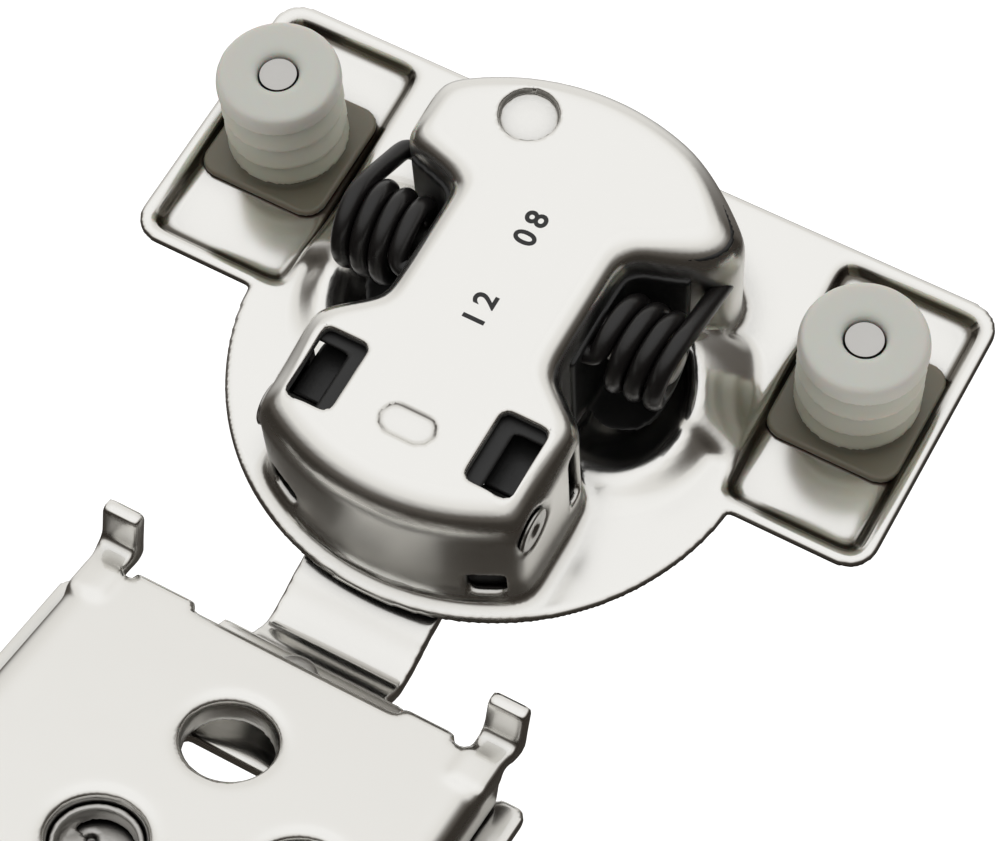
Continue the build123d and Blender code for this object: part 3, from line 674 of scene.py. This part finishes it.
# ---------- bracket
BRACKET_BLOCK = ((-16.1, -34.5, -6.9), (16.1, 3.1, 3.5))
BRACKET_HALF = 15.53
BRACKET_FOLD = 1.9  # outer radius of the folds
CAM_HOLE = (-2.9, 17.9)
FAR_SCREW = (9.1, 13.95)
BRACKET_HOLES = (((0.0, 7.4), 3.0), (CAM_HOLE, 3.05), (FAR_SCREW, 3.05))
BRACKET_HOOKS = [(9, -6.3), (28, -6.3), (28, -3.7), (24, -3.7), (24, -5.05), (9, -5.05)]
BRACKET_PLAN = [
    (-16.2, 0), (-12.1, 0), (-12.1, -0.75), (-7.5, -0.75), (-7.4, 0), (7.85, 0),
    (7.95, -0.75), (11.55, -0.75), (12.0, 0), (16.2, 0), (16.2, 34), (-16.2, 34),
]
WALL_DEPTH = 3.75  # how far the sides reach down
WALL_INNER = 13.2
FACE_DEPTH = 2.3
EAR_FOOT = ((0, -0.6), (2.6, 0.6))  # middle and half size, along the bracket and up
EAR_HEAD = ((-2.4, 1.05), (0.6, 1.95))
EAR_SPREAD = 14.3
EAR_HALF = 1.4


def make_bracket():
    """A folded channel with rolled screw holes, two bent ears and hooks under its sides."""
    block = Block(*BRACKET_BLOCK, size_mm("cup_grid"))
    x, y, z = block.xyz
    s = -y
    face = round_meet(np.abs(x) - BRACKET_HALF, z + 0 * y, BRACKET_FOLD)
    for centre, radius in BRACKET_HOLES:
        face = round_cut(face, disc(x, s, centre, radius), 0.45)
    face = blur(face, 0.3, block.step, (0, 1, 2))
    channel = round_meet(face, -face - size_mm("bracket_sheet"), 0.2)
    wall = np.minimum(-WALL_DEPTH - z, polygon(s, z, BRACKET_HOOKS))
    depth = np.minimum(np.maximum(wall, WALL_INNER - np.abs(x)), -FACE_DEPTH - z)
    channel = round_meet(channel, depth, 0.2)
    plan = blur(polygon(x, s, BRACKET_PLAN), 0.2, block.step, (0, 1))
    channel = round_meet(channel, plan, 0.22)
    foot = rounded_box(s, z, *EAR_FOOT, 0.5)
    head = rounded_box(s, z, *EAR_HEAD, 0.3)
    profile = blur(round_join(foot, head, 0.7), 0.12, block.step, (1, 2))
    inset = 0.15 * smooth_step(s, -2.2, 0.0)
    for side in (-1, 1):
        width = np.abs(x - side * (EAR_SPREAD - inset)) - EAR_HALF + inset
        ear = round_meet(profile, width, 0.35)
        channel = round_join(channel, ear, 0.7)
    pressed_piece("folded_bracket", block, channel, "bracket", "nickel",
                  ("frame_bracket",), BRACKET_PLACE)


# ---------- arm and slide
PLATE_GRID = 0.26
ARM_BLOCK = ((-8.0, -32.2, -4.1), (8.0, -9.8, 10.4))
ARM_SHEET = 1.0
ARM_LINE = [(-14.49, 7.6), (-14.49, -1.5033), (-19.1, -2.05), (-20.4, -2.53), (-23.05, -3.01)]
ARM_BEND = 1.1  # radius of the strap's bends
TAIL_HEIGHT = -5.45  # the middle of the tail, below the bracket's face
TAIL_REACH = (-3.9, 2.6)
NECK_HALF, TAIL_FLARE = 5.2, 2.2
EYE_RADIUS = 1.79
RIVET_S = -0.6  # the rivet's place along the bracket
BEND_STEPS = 6


def near_line(u, v, points):
    """Distance to a smooth line through many points."""
    nearest = np.full(np.broadcast(u, v).shape, np.inf)
    for start, end in zip(points, points[1:]):
        nearest = np.minimum(nearest, capsule(u, v, start, end, 0))
    return nearest


def soft_line(points, radius):
    """The corners of a line turned into arcs of about the given radius."""
    result = [points[0]]
    for before, corner, after in zip(points, points[1:], points[2:]):
        before, corner, after = (Vector(p) for p in (before, corner, after))
        reach = min(radius, (before - corner).length / 2.05, (after - corner).length / 2.05)
        start = corner + (before - corner).normalized() * reach
        end = corner + (after - corner).normalized() * reach
        for i in range(BEND_STEPS + 1):
            t = i / BEND_STEPS
            result.append(tuple((1 - t) ** 2 * start + 2 * t * (1 - t) * corner + t * t * end))
    result.append(points[-1])
    return result


def make_arm():
    """A strap curled round the knuckle pin at one end and flared under the slide at the other."""
    block = Block(*ARM_BLOCK, PLATE_GRID)
    x, y, z = block.xyz
    tail = [bracket_point(0, s, TAIL_HEIGHT) for s in TAIL_REACH]
    line = soft_line(ARM_LINE + [(point.y, point.z) for point in tail], ARM_BEND)
    strap = near_line(y, z, line) - ARM_SHEET / 2
    eye = np.abs(disc(y, z, KNUCKLE, EYE_RADIUS)) - ARM_SHEET / 2
    strap = round_join(strap, eye, 0.25)
    strap = blur(strap, 0.12, block.step, (1, 2))
    s = -((y - BRACKET_Y) * math.cos(LEAN) - (z - BRACKET_Z) * math.sin(LEAN))
    spread = NECK_HALF + TAIL_FLARE * smooth_step(s, -4.3, -2.7)
    arm = round_meet(strap, np.abs(x) - spread, 0.2)
    arm = round_meet(arm, s - 2.55, 0.2)
    arm = round_cut(arm, disc(x, s, (0, RIVET_S), 1.3), 0.1)
    pressed_piece("folded_strap", block, arm, "arm", "nickel", ("hinge_arm",))


SLIDE_BLOCK = ((-18.2, -22.0, -5.3), (18.2, 3.9, -3.6))
SLIDE_MIDDLE = -4.4  # the middle of the plate, below the bracket's face
SLIDE_SHEET = 1.0
SLIDE_PLATE = ((0, 11.65), (17.5, 9.85))  # middle and half size, across and along
SLIDE_TONGUE = ((0, 0), (7.0, 3.4))
SLIDE_WINDOWS = (((0, 8.35), (3.9, 2.35)), ((-1.65, 8.8), (2.25, 2.8)))
BAR_X, BAR_S = 16.3, 10.45
BAR_HALF = (1.2, 11.05)


def make_slide():
    """The flat plate that carries the bracket, its side bars and its slotted tongue."""
    block = Block(*SLIDE_BLOCK, PLATE_GRID)
    x, y, z = block.xyz
    s = -y
    bars = rounded_box(np.abs(x), s, (BAR_X, BAR_S), BAR_HALF, 0.9)
    tongue = rounded_box(x, s, *SLIDE_TONGUE, 0.5)
    plan = np.minimum(rounded_box(x, s, *SLIDE_PLATE, 0.6), np.minimum(tongue, bars))
    openings = [rounded_box(x, s, *window, 0.3) for window in SLIDE_WINDOWS]
    openings += [
        capsule(x, s, (-1.5, RIVET_S), (1.5, RIVET_S), 1.4),
        disc(x, s, FAR_SCREW, 3.9),
        capsule(x, s, (-2.0, CAM_HOLE[1]), (-0.8, CAM_HOLE[1]), 1.22),
    ]
    for opening in openings:
        plan = np.maximum(plan, -opening)
    plate = round_meet(plan, np.abs(z - SLIDE_MIDDLE) - SLIDE_SHEET / 2, 0.28)
    pressed_piece("slide_plate_soft", block, plate, "slide", "nickel",
                  ("slide_plate",), BRACKET_PLACE)


# ---------- turned pieces
TURN_SIDES = 64
CENTRE = 0.02  # radius of the tiny face that closes a turned piece on its axis
HALVES_OVERLAP = 0.1  # of the knuckle pin


def ring_faces(sides, rings):
    """Quads between rings of points in order, with a face closing each end."""
    faces = []
    for k in range(rings - 1):
        for i in range(sides):
            j = (i + 1) % sides
            faces.append((k * sides + i, k * sides + j, (k + 1) * sides + j, (k + 1) * sides + i))
    faces.append(tuple(reversed(range(sides))))
    faces.append(tuple((rings - 1) * sides + i for i in range(sides)))
    return faces


def turned(profile, place):
    """Points and faces of a closed profile of radius and height pairs, turned about its axis."""
    turns = [2 * math.pi * i / TURN_SIDES for i in range(TURN_SIDES)]
    points = [tuple(place @ Vector((radius * math.cos(t), radius * math.sin(t), height)))
              for radius, height in profile for t in turns]
    return points, ring_faces(TURN_SIDES, len(profile))


def along(origin, direction):
    """A place whose Z runs along a direction."""
    turn = Vector(direction).to_track_quat("Z", "Y").to_matrix().to_4x4()
    return Matrix.Translation(origin) @ turn


def join_shapes(*shapes):
    """Several lots of points and faces as one."""
    points, faces = [], []
    for more_points, more_faces in shapes:
        faces += [tuple(i + len(points) for i in face) for face in more_faces]
        points += list(more_points)
    return points, faces


PIN_RADIUS = 1.25
SWAGED_HEAD = [
    (PIN_RADIUS, 9.62), (1.45, 9.66), (1.57, 9.76), (1.6, 9.88), (1.52, 9.97), (1.36, 10.0),
    (0.72, 9.99), (0.6, 9.95), (0.5, 9.86), (0.34, 9.78), (0.12, 9.76), (CENTRE, 9.76),
]
AXLE_PROFILE = [
    (CENTRE, -12.4), (1.1, -12.4), (1.4, -12.2), (1.5, -11.9),
    (1.5, 11.9), (1.4, 12.2), (1.1, 12.4), (CENTRE, 12.4),
]
RIVET_PROFILE = [
    (CENTRE, -6.9), (1.9, -6.9), (2.08, -6.75), (2.1, -6.5), (2.0, -6.41), (1.28, -6.4),
    (1.28, -3.84), (1.9, -3.84), (2.0, -3.74), (2.0, -3.5), (1.9, -3.4), (1.62, -3.35),
    (1.6, -2.35), (1.55, -2.2), (1.45, -2.1), (1.3, -2.05), (0.9, -2.01), (CENTRE, -2.0),
]


def make_pin_heads():
    """The knuckle pin with its swaged ends and centre marks."""
    halves = []
    for side, start in ((1, -HALVES_OVERLAP), (-1, 0.0)):
        profile = [(CENTRE, start), (PIN_RADIUS, start)] + SWAGED_HEAD
        halves.append(turned(profile, along((0, *KNUCKLE), (side, 0, 0))))
    mesh_piece("swaged_pin", *join_shapes(*halves), "cup", "zinc", ("knuckle_pin",))


def make_axle():
    """The springs' axle, its rounded ends inside the last turns."""
    shape = turned(AXLE_PROFILE, along((0, *AXLE), (1, 0, 0)))
    mesh_piece("round_axle", *shape, "cup", "zinc", ("spring_pin",))


def make_rivet():
    """The arm's rivet with a domed, ringed head."""
    foot = bracket_point(0, RIVET_S, 0)
    axis = along(foot, bracket_point(0, RIVET_S, 1) - foot)
    mesh_piece("domed_rivet", *turned(RIVET_PROFILE, axis), "arm", "zinc", ("arm_rivet",))


FINE_GRID = 0.2
CAM_BLOCK = ((-6.2, -21.2, -5.7), (0.6, -14.6, -0.4))
CROSS_ARM = (1.8, 0.32)  # half length and half width of each slot of the cross


def make_cam():
    """The depth cam: a deep cup turned by its cross recess, on a collar and an offset pin."""
    block = Block(*CAM_BLOCK, FINE_GRID)
    x, y, z = block.xyz
    s = -y
    cam_x, cam_s = CAM_HOLE
    body = round_meet(disc(x, s, CAM_HOLE, 2.97), np.maximum(z + 0.75, -2.1 - z), 0.3)
    collar = round_meet(disc(x, s, CAM_HOLE, 3.2), np.abs(z + 3.05) - 0.7, 0.2)
    pin = np.maximum(disc(x, s, (cam_x + 1.5, cam_s), 1.08), np.abs(z + 4.2) - 1.25)
    cam = np.minimum(np.minimum(body, collar), pin)
    hollow = round_meet(disc(x, s, CAM_HOLE, 2.5), -1.75 - z + 0.2 * (s - cam_s), 0.5)
    cam = round_cut(cam, hollow, 0.25)
    u = ((x - cam_x) + (s - cam_s)) / math.sqrt(2)
    v = ((x - cam_x) - (s - cam_s)) / math.sqrt(2)
    cross = np.minimum(rounded_box(u, v, (0, 0), CROSS_ARM, 0.1),
                       rounded_box(u, v, (0, 0), CROSS_ARM[::-1], 0.1))
    cam = round_cut(cam, np.maximum(cross, -2.9 - z), 0.15)
    pressed_piece("hollow_cam", block, cam, "cam", "zinc", ("depth_cam",), BRACKET_PLACE)


# ---------- dowels
DOWEL_TOP = 8.73
BARB_RADIUS = 4.45
GROOVE_RADIUS = 3.75
BARB_EDGES = (6.9, 4.75, 2.5, 0.55)
SCREW_HOLE = 1.45
PAD_HALF = 4.95


def make_dowel(node, side):
    """A barbed nylon dowel standing on its square pad."""
    centre = (side * DOWEL_SPREAD, DOWEL_LINE)
    block = Block((centre[0] - 5.3, DOWEL_LINE - 5.3, -1.2),
                  (centre[0] + 5.3, DOWEL_LINE + 5.3, 9.0), FINE_GRID)
    x, y, z = block.xyz
    radius = np.hypot(x - centre[0], y - centre[1])
    outline = [(-3, -0.9), (-3, DOWEL_TOP), (BARB_RADIUS, DOWEL_TOP), (BARB_RADIUS, BARB_EDGES[0])]
    for upper, lower in zip(BARB_EDGES, BARB_EDGES[1:]):
        outline += [(GROOVE_RADIUS, upper), (BARB_RADIUS, lower)]
    outline += [(GROOVE_RADIUS, BARB_EDGES[-1]), (GROOVE_RADIUS, -0.9)]
    body = round_meet(polygon(radius, z, outline), radius - BARB_RADIUS, 0.15)
    body = round_meet(body, z - DOWEL_TOP, 1.3)
    body = round_cut(body, radius - SCREW_HOLE, 0.6)
    square = rounded_box(x, y, centre, (PAD_HALF, PAD_HALF), 1.5)
    pad = round_meet(square, np.abs(z + 0.64) - 0.26, 0.2)
    pad = round_cut(pad, radius - SCREW_HOLE + 0 * z, 0.2)
    body = blur(round_join(body, pad, 0.25), 0.08, block.step, (0, 1, 2))
    pressed_piece("soft_" + node, block, body, "cup", "nylon", (node,))


# ---------- springs
WIRE_SIDES = 20
WIRE_STEP = 0.16
EASING_PASSES = 24
COIL_RADIUS = 2.775
COIL_PITCH = 1.45
COIL_TURNS = 3.25
COIL_LAST = 8.0  # x at which the last quarter turn begins
COIL_POINTS = 240
LEG_ANGLE = 1.126101
LEG_RIGHT = [(12.0, 10.1, 6.2)]
LEG_LEFT = [(-10.6, 9.2, 6.6289), (-12.15, 9.2, 6.6289)]
LEG_INNER = 5.35  # x at which the inner leg ends inside the cup


def tube(points, radius):
    """A round wire along a smooth line, closed at both ends."""
    line = np.array(points)
    run = np.gradient(line, axis=0)
    run /= np.linalg.norm(run, axis=1)[:, None]
    side = np.cross(run[0], (0.3, 0.5, 0.8))
    verts = []
    for place, ahead in zip(line, run):
        side = side - ahead * side.dot(ahead)
        side /= np.linalg.norm(side)
        other = np.cross(ahead, side)
        for i in range(WIRE_SIDES):
            t = 2 * math.pi * i / WIRE_SIDES
            verts.append(tuple(place + radius * (math.cos(t) * side + math.sin(t) * other)))
    return verts, ring_faces(WIRE_SIDES, len(line))


def evenly(points, step):
    """A line resampled at even steps, then eased round its corners."""
    line = np.array(points, float)
    spans = np.linalg.norm(np.diff(line, axis=0), axis=1)
    lengths = np.concatenate([[0], np.cumsum(spans)])
    places = np.linspace(0, lengths[-1], int(lengths[-1] / step) + 1)
    line = np.stack([np.interp(places, lengths, line[:, i]) for i in range(3)], 1)
    for _ in range(EASING_PASSES):
        line[1:-1] = (line[:-2] + 2 * line[1:-1] + line[2:]) / 4
    return line


def make_spring(node, side):
    """A torsion spring: an outer leg on the shoulder, the coil, and an inner leg into the cup."""
    end_x = COIL_LAST + (COIL_TURNS - 0.25) * COIL_PITCH
    coil = []
    for i in range(COIL_POINTS + 1):
        t = i / COIL_POINTS
        angle = LEG_ANGLE + 2 * math.pi * COIL_TURNS * t
        coil.append((side * (end_x - COIL_TURNS * COIL_PITCH * t),
                     AXLE[0] + COIL_RADIUS * math.cos(angle),
                     AXLE[1] + COIL_RADIUS * math.sin(angle)))
    leg = LEG_RIGHT if side > 0 else LEG_LEFT
    inner = (side * LEG_INNER, coil[-1][1], coil[-1][2])
    line = evenly(leg + coil + [inner], WIRE_STEP)
    mesh_piece("wound_" + node, *tube(line, size_mm("wire_radius")), "cup", "spring_steel", (node,))


# ---------- plastic inside
HOUSING_BLOCK = ((-12.6, -16.6, -0.9), (14.2, 17.2, 10.4))
HOUSING_GRID = 0.3
WALL_PRESS = 0.15  # how deep the housing is pressed into the cup's wall, so that no light shows
SPACER_GAP = 0.2
SPACER_X = 7.2
# Dark sheets of painted shade in the spring pockets.
POCKET_SHADE_GRID = 0.25
POCKET_SHADE_X = 9.4


def make_housing():
    """The damper's black housing: the back of the cup, a cheek each side of the arm and a roof;
    cheeks and roof are partly the real moulding and partly dark fill standing in for the shade
    inside the cup.
    """
    block = Block(*HOUSING_BLOCK, HOUSING_GRID)
    x, y, z = block.xyz
    inner = cup_plan(x, y, block.step) + size_mm("cup_sheet") - WALL_PRESS
    body = np.maximum(inner, 6.8 - y)
    # Partly painted shade: the cheeks are the damper's moulding, carried out to the cup's wall so
    # that the slots and windows show dark fill where the inside lies in shade.
    cheeks = np.maximum(np.maximum(inner, 5.9 - np.abs(x)), y - 4.0)
    housing = round_meet(np.minimum(body, cheeks), np.abs(z - 5.1) - 4.8, 0.4)
    # Painted shade: a thin dark roof lining the inside of the cup's bottom, dark fill where the
    # cup's inside lies in shade.
    roof = np.maximum(inner, np.minimum(np.abs(x) - 6.3, -8.3 - y))
    housing = np.minimum(housing, np.maximum(roof, np.abs(z - 10.12) - 0.19))
    axle = np.maximum(disc(y, z, AXLE, 2.0), np.abs(x) - 9)
    housing = round_cut(housing, axle, 0.2)
    knuckle = np.maximum(disc(y, z, KNUCKLE, 1.4), np.abs(x) - 11)
    housing = round_cut(housing, knuckle, 0.1)
    room = rounded_box(y, z, (-11.2, 7.3), (4.4, 2.55), 0.4)
    housing = round_cut(housing, np.maximum(room, np.abs(x) - 9.0), 0.2)
    pressed_piece("damper_block", block, housing, "cup", "black_plastic", ("damper_housing",))


def make_spacer(node, side):
    """A rounded plastic spacer between the arm's eye and the cup's wall."""
    block = Block((side * SPACER_X - 2.2, -16.0, 4.5), (side * SPACER_X + 2.2, -6.4, 9.7),
                  PLATE_GRID)
    x, y, z = block.xyz
    inner = cup_plan(x, y, block.step) + size_mm("cup_sheet") + SPACER_GAP
    plan = round_meet(inner, np.abs(x - side * 7.175) - 1.72, 0.3)
    spacer = round_meet(plan, rounded_box(y, z, (-11.4, 6.7), (4.5, 1.8), 0.9), 0.3)
    spacer = round_cut(spacer, disc(y, z, KNUCKLE, 1.29), 0.1)
    pressed_piece("soft_" + node, block, spacer, "cup", "black_plastic", (node,))


def make_pocket_shade(side):
    """A dark sheet of painted shade on a pocket's floor and up the cup's wall behind the spring."""
    block = Block((side * POCKET_SHADE_X - 3.6, -2.6, -0.4), (side * POCKET_SHADE_X + 3.6, 9.2, 9.3),
                  POCKET_SHADE_GRID)
    x, y, z = block.xyz
    plan = (np.hypot((x - side * 8.6) / 3.1, (y - 2.9) / 3.6) - 1) * 3.1
    floor = np.maximum(plan, z - 0.2 - pocket_height(x, y, side, block.step))
    floor = np.maximum(floor, -0.3 - z)
    wall = cup_plan(x, y, block.step)
    climb = np.maximum(np.maximum(wall - 0.3, z - 8.9), np.maximum(-1.6 - y, side * x - 10.6))
    climb = np.maximum(climb, 6.2 - side * x)
    pocket_shade = np.maximum(round_join(floor, climb, 0.4), -0.25 - wall)
    name = "pocket_shade_left" if side < 0 else "pocket_shade_right"
    pressed_piece(name, block, pocket_shade, "cup", "black_plastic", ())


# ---------- stamped numbers
NUMBERS = (("12", -1.85), ("08", 5.1))  # each with its y
NUMBER_X = 0.1


def number_shape(text, y):
    """Points and faces of one number that reads along the cup's Y."""
    curve = bpy.data.curves.new("number", "FONT")
    curve.body = text
    curve.size = size_mm("number_height")
    curve.space_character = 1.45
    curve.align_x = "CENTER"
    curve.align_y = "CENTER"
    curve.extrude = 0.02
    curve.offset = 0.045
    holder = bpy.data.objects.new("number", curve)
    show(holder)
    mesh = bpy.data.meshes.new_from_object(holder)
    turn = Matrix.Translation((NUMBER_X, y, CUP_DEPTH)) @ Matrix.Rotation(math.radians(90), 4, "Z")
    points = [tuple(turn @ vertex.co) for vertex in mesh.vertices]
    faces = [tuple(face.vertices) for face in mesh.polygons]
    bpy.data.objects.remove(holder)
    bpy.data.meshes.remove(mesh)
    bpy.data.curves.remove(curve)
    return points, faces


def make_numbers():
    """Plain tool numbers stamped in the cup's bottom and filled with black."""
    shapes = [number_shape(text, y) for text, y in NUMBERS]
    piece = mesh_piece("stamped_numbers", *join_shapes(*shapes), "cup", "black_plastic")
    piece.data.polygons.foreach_set("use_smooth", [False] * len(piece.data.polygons))


# ---------- pieces
class HINGE_OT_cup(Operator):
    """Presses the cup and stamps its numbers"""

    bl_idname = "hinge.cup"
    bl_label = "Cup pressing"

    def execute(self, context):
        make_cup()
        make_numbers()
        return {"FINISHED"}


class HINGE_OT_dowels(Operator):
    """Moulds the nylon dowels and dresses their screws"""

    bl_idname = "hinge.dowels"
    bl_label = "Dowels"

    def execute(self, context):
        make_dowel("dowel_left", -1)
        make_dowel("dowel_right", 1)
        dress_nodes("dowel_screws")
        return {"FINISHED"}


class HINGE_OT_springs(Operator):
    """Winds the torsion springs and turns the two pins"""

    bl_idname = "hinge.springs"
    bl_label = "Springs and pins"

    def execute(self, context):
        make_spring("spring_left", -1)
        make_spring("spring_right", 1)
        make_pin_heads()
        make_axle()
        return {"FINISHED"}


class HINGE_OT_mechanism(Operator):
    """Moulds housing and spacers, lays dark sheets of painted shade in the spring pockets, and
    dresses lever, roller and plunger
    """

    bl_idname = "hinge.mechanism"
    bl_label = "Mechanism"

    def execute(self, context):
        make_housing()
        for side, name in ((-1, "left"), (1, "right")):
            make_spacer("spacer_" + name, side)
            # A dark sheet of painted shade in this side's spring pocket.
            make_pocket_shade(side)
        dress_nodes("spring_lever", "roller_pin", "lever_roller", "damper_plunger")
        return {"FINISHED"}


class HINGE_OT_arm(Operator):
    """Makes the arm, its rivet, the slide plate and the cam, and dresses the rivet's washer"""

    bl_idname = "hinge.arm"
    bl_label = "Arm and slide"

    def execute(self, context):
        make_arm()
        make_rivet()
        make_slide()
        make_cam()
        dress_nodes("rivet_washer")
        return {"FINISHED"}


class HINGE_OT_bracket(Operator):
    """Folds the frame bracket"""

    bl_idname = "hinge.bracket"
    bl_label = "Frame bracket"

    def execute(self, context):
        make_bracket()
        return {"FINISHED"}


# ---------- stage
CAMERA_PLACE = (0.055962, -0.085958, 0.187980)
CAMERA_RIGHT = (0.87354, 0.48526, -0.03802)
CAMERA_UP = (-0.41493, 0.78322, 0.46303)
CAMERA_BACK = (0.25447, -0.38870, 0.88553)
SENSOR_WIDTH = 36
FLOOR_SIZE = 6.0
FAR_SIDE = (-0.547, 0.837, 0.0)  # level direction towards the bright end of the room
FAR_LIFT = 0.3  # how much the room brightens towards that end
FAR_WALL = 0.28  # where the bright wall starts
WALL_BLEND = 0.2
ROOM_LEVELS = (
    (0.0, (0.035, 0.03, 0.025)),
    (0.3, (0.10, 0.09, 0.08)),
    (0.7, (0.85, 0.84, 0.82)),
    (1.0, PLAIN),
)


def make_camera(stage):
    """The camera, square to no face of the hinge."""
    data = bpy.data.cameras.new("camera")
    data.sensor_width = SENSOR_WIDTH
    data.lens = stage.lens
    data.clip_start = 0.005
    data.clip_end = 20
    camera = bpy.data.objects.new("camera", data)
    columns = [Vector(v).normalized() for v in (CAMERA_RIGHT, CAMERA_UP, CAMERA_BACK)]
    turn = Matrix(columns).transposed().to_4x4()
    camera.matrix_world = Matrix.Translation(CAMERA_PLACE) @ turn
    show(camera)
    bpy.context.scene.camera = camera


def make_floor(stage):
    """A wide plain white sheet, bright enough to read as paper."""
    paper = new_material("floor", (0.9, 0.9, 0.9, 1), metallic=0.0, roughness=0.9)
    set_inputs(tree(paper)[2], Emission_Color=(1, 1, 1, 1), Emission_Strength=0.6)
    half = FLOOR_SIZE / 2
    corners = [(-half, -half, 0), (half, -half, 0), (half, half, 0), (-half, half, 0)]
    mesh = bpy.data.meshes.new("floor")
    mesh.from_pydata(corners, [], [(0, 1, 2, 3)])
    mesh.materials.append(paper)
    floor = bpy.data.objects.new("floor", mesh)
    floor.location = (0, 0, -stage.floor_drop)
    show(floor)
    floor.visible_glossy = False


def make_world(stage):
    """A broad white softbox overhead fading to a dark room, so that steep walls read dark."""
    world = bpy.data.worlds.new("studio")
    world.use_nodes = True
    nodes, links = world.node_tree.nodes, world.node_tree.links
    place = nodes.new("ShaderNodeTexCoord")
    split = nodes.new("ShaderNodeSeparateXYZ")
    ramp = nodes.new("ShaderNodeValToRGB")
    away = nodes.new("ShaderNodeVectorMath")
    away.operation = "DOT_PRODUCT"
    away.inputs[1].default_value = FAR_SIDE
    lifted = nodes.new("ShaderNodeMath")
    lifted.operation = "MULTIPLY_ADD"
    lifted.inputs[1].default_value = FAR_LIFT
    far_wall = nodes.new("ShaderNodeMath")
    far_wall.operation = "SUBTRACT"
    far_wall.inputs[1].default_value = FAR_WALL
    level = nodes.new("ShaderNodeMath")
    level.operation = "SMOOTH_MAX"
    level.inputs[2].default_value = WALL_BLEND
    links.new(place.outputs["Generated"], split.inputs["Vector"])
    links.new(place.outputs["Generated"], away.inputs[0])
    links.new(away.outputs["Value"], lifted.inputs[0])
    links.new(split.outputs["Z"], lifted.inputs[2])
    links.new(away.outputs["Value"], far_wall.inputs[0])
    links.new(lifted.outputs["Value"], level.inputs[0])
    links.new(far_wall.outputs["Value"], level.inputs[1])
    links.new(level.outputs["Value"], ramp.inputs["Fac"])
    set_ramp(ramp, ROOM_LEVELS)
    links.new(ramp.outputs["Color"], nodes["Background"].inputs["Color"])
    nodes["Background"].inputs["Strength"].default_value = stage.sky_strength
    bpy.context.scene.world = world


class HINGE_OT_stage(Operator):
    """Builds the camera, the soft room and the floor"""

    bl_idname = "hinge.stage"
    bl_label = "Studio"

    def execute(self, context):
        stage = context.scene.hinge_stage
        make_camera(stage)
        make_world(stage)
        make_floor(stage)
        context.scene.view_settings.view_transform = "Standard"
        return {"FINISHED"}


# ---------- panel
OPERATORS = (
    HINGE_OT_stage,
    HINGE_OT_cup,
    HINGE_OT_dowels,
    HINGE_OT_springs,
    HINGE_OT_mechanism,
    HINGE_OT_arm,
    HINGE_OT_bracket,
)


class HINGE_PT_sidebar(Panel):
    bl_idname = "HINGE_PT_sidebar"
    bl_label = "Cup hinge"
    bl_space_type = "VIEW_3D"
    bl_region_type = "UI"
    bl_category = "Hinge"

    def draw(self, context):
        for group_name, group in SETTINGS.items():
            for name in group.__annotations__:
                self.layout.prop(getattr(context.scene, group_name), name)
        for operator in OPERATORS:
            self.layout.operator(operator.bl_idname)


SETTINGS = {"hinge_finish": HingeFinish, "hinge_sizes": HingeSizes, "hinge_stage": HingeStage}
CLASSES = (*SETTINGS.values(), *OPERATORS, HINGE_PT_sidebar)


def register():
    for cls in CLASSES:
        bpy.utils.register_class(cls)
    for name, group in SETTINGS.items():
        setattr(bpy.types.Scene, name, PointerProperty(type=group))


def unregister():
    for name in SETTINGS:
        delattr(bpy.types.Scene, name)
    for cls in reversed(CLASSES):
        bpy.utils.unregister_class(cls)


def main():
    """Registers the add-on and builds every piece."""
    register()
    for operator in OPERATORS:
        group, name = operator.bl_idname.split(".")
        getattr(getattr(bpy.ops, group), name)()


if __name__ == "__main__":
    main()
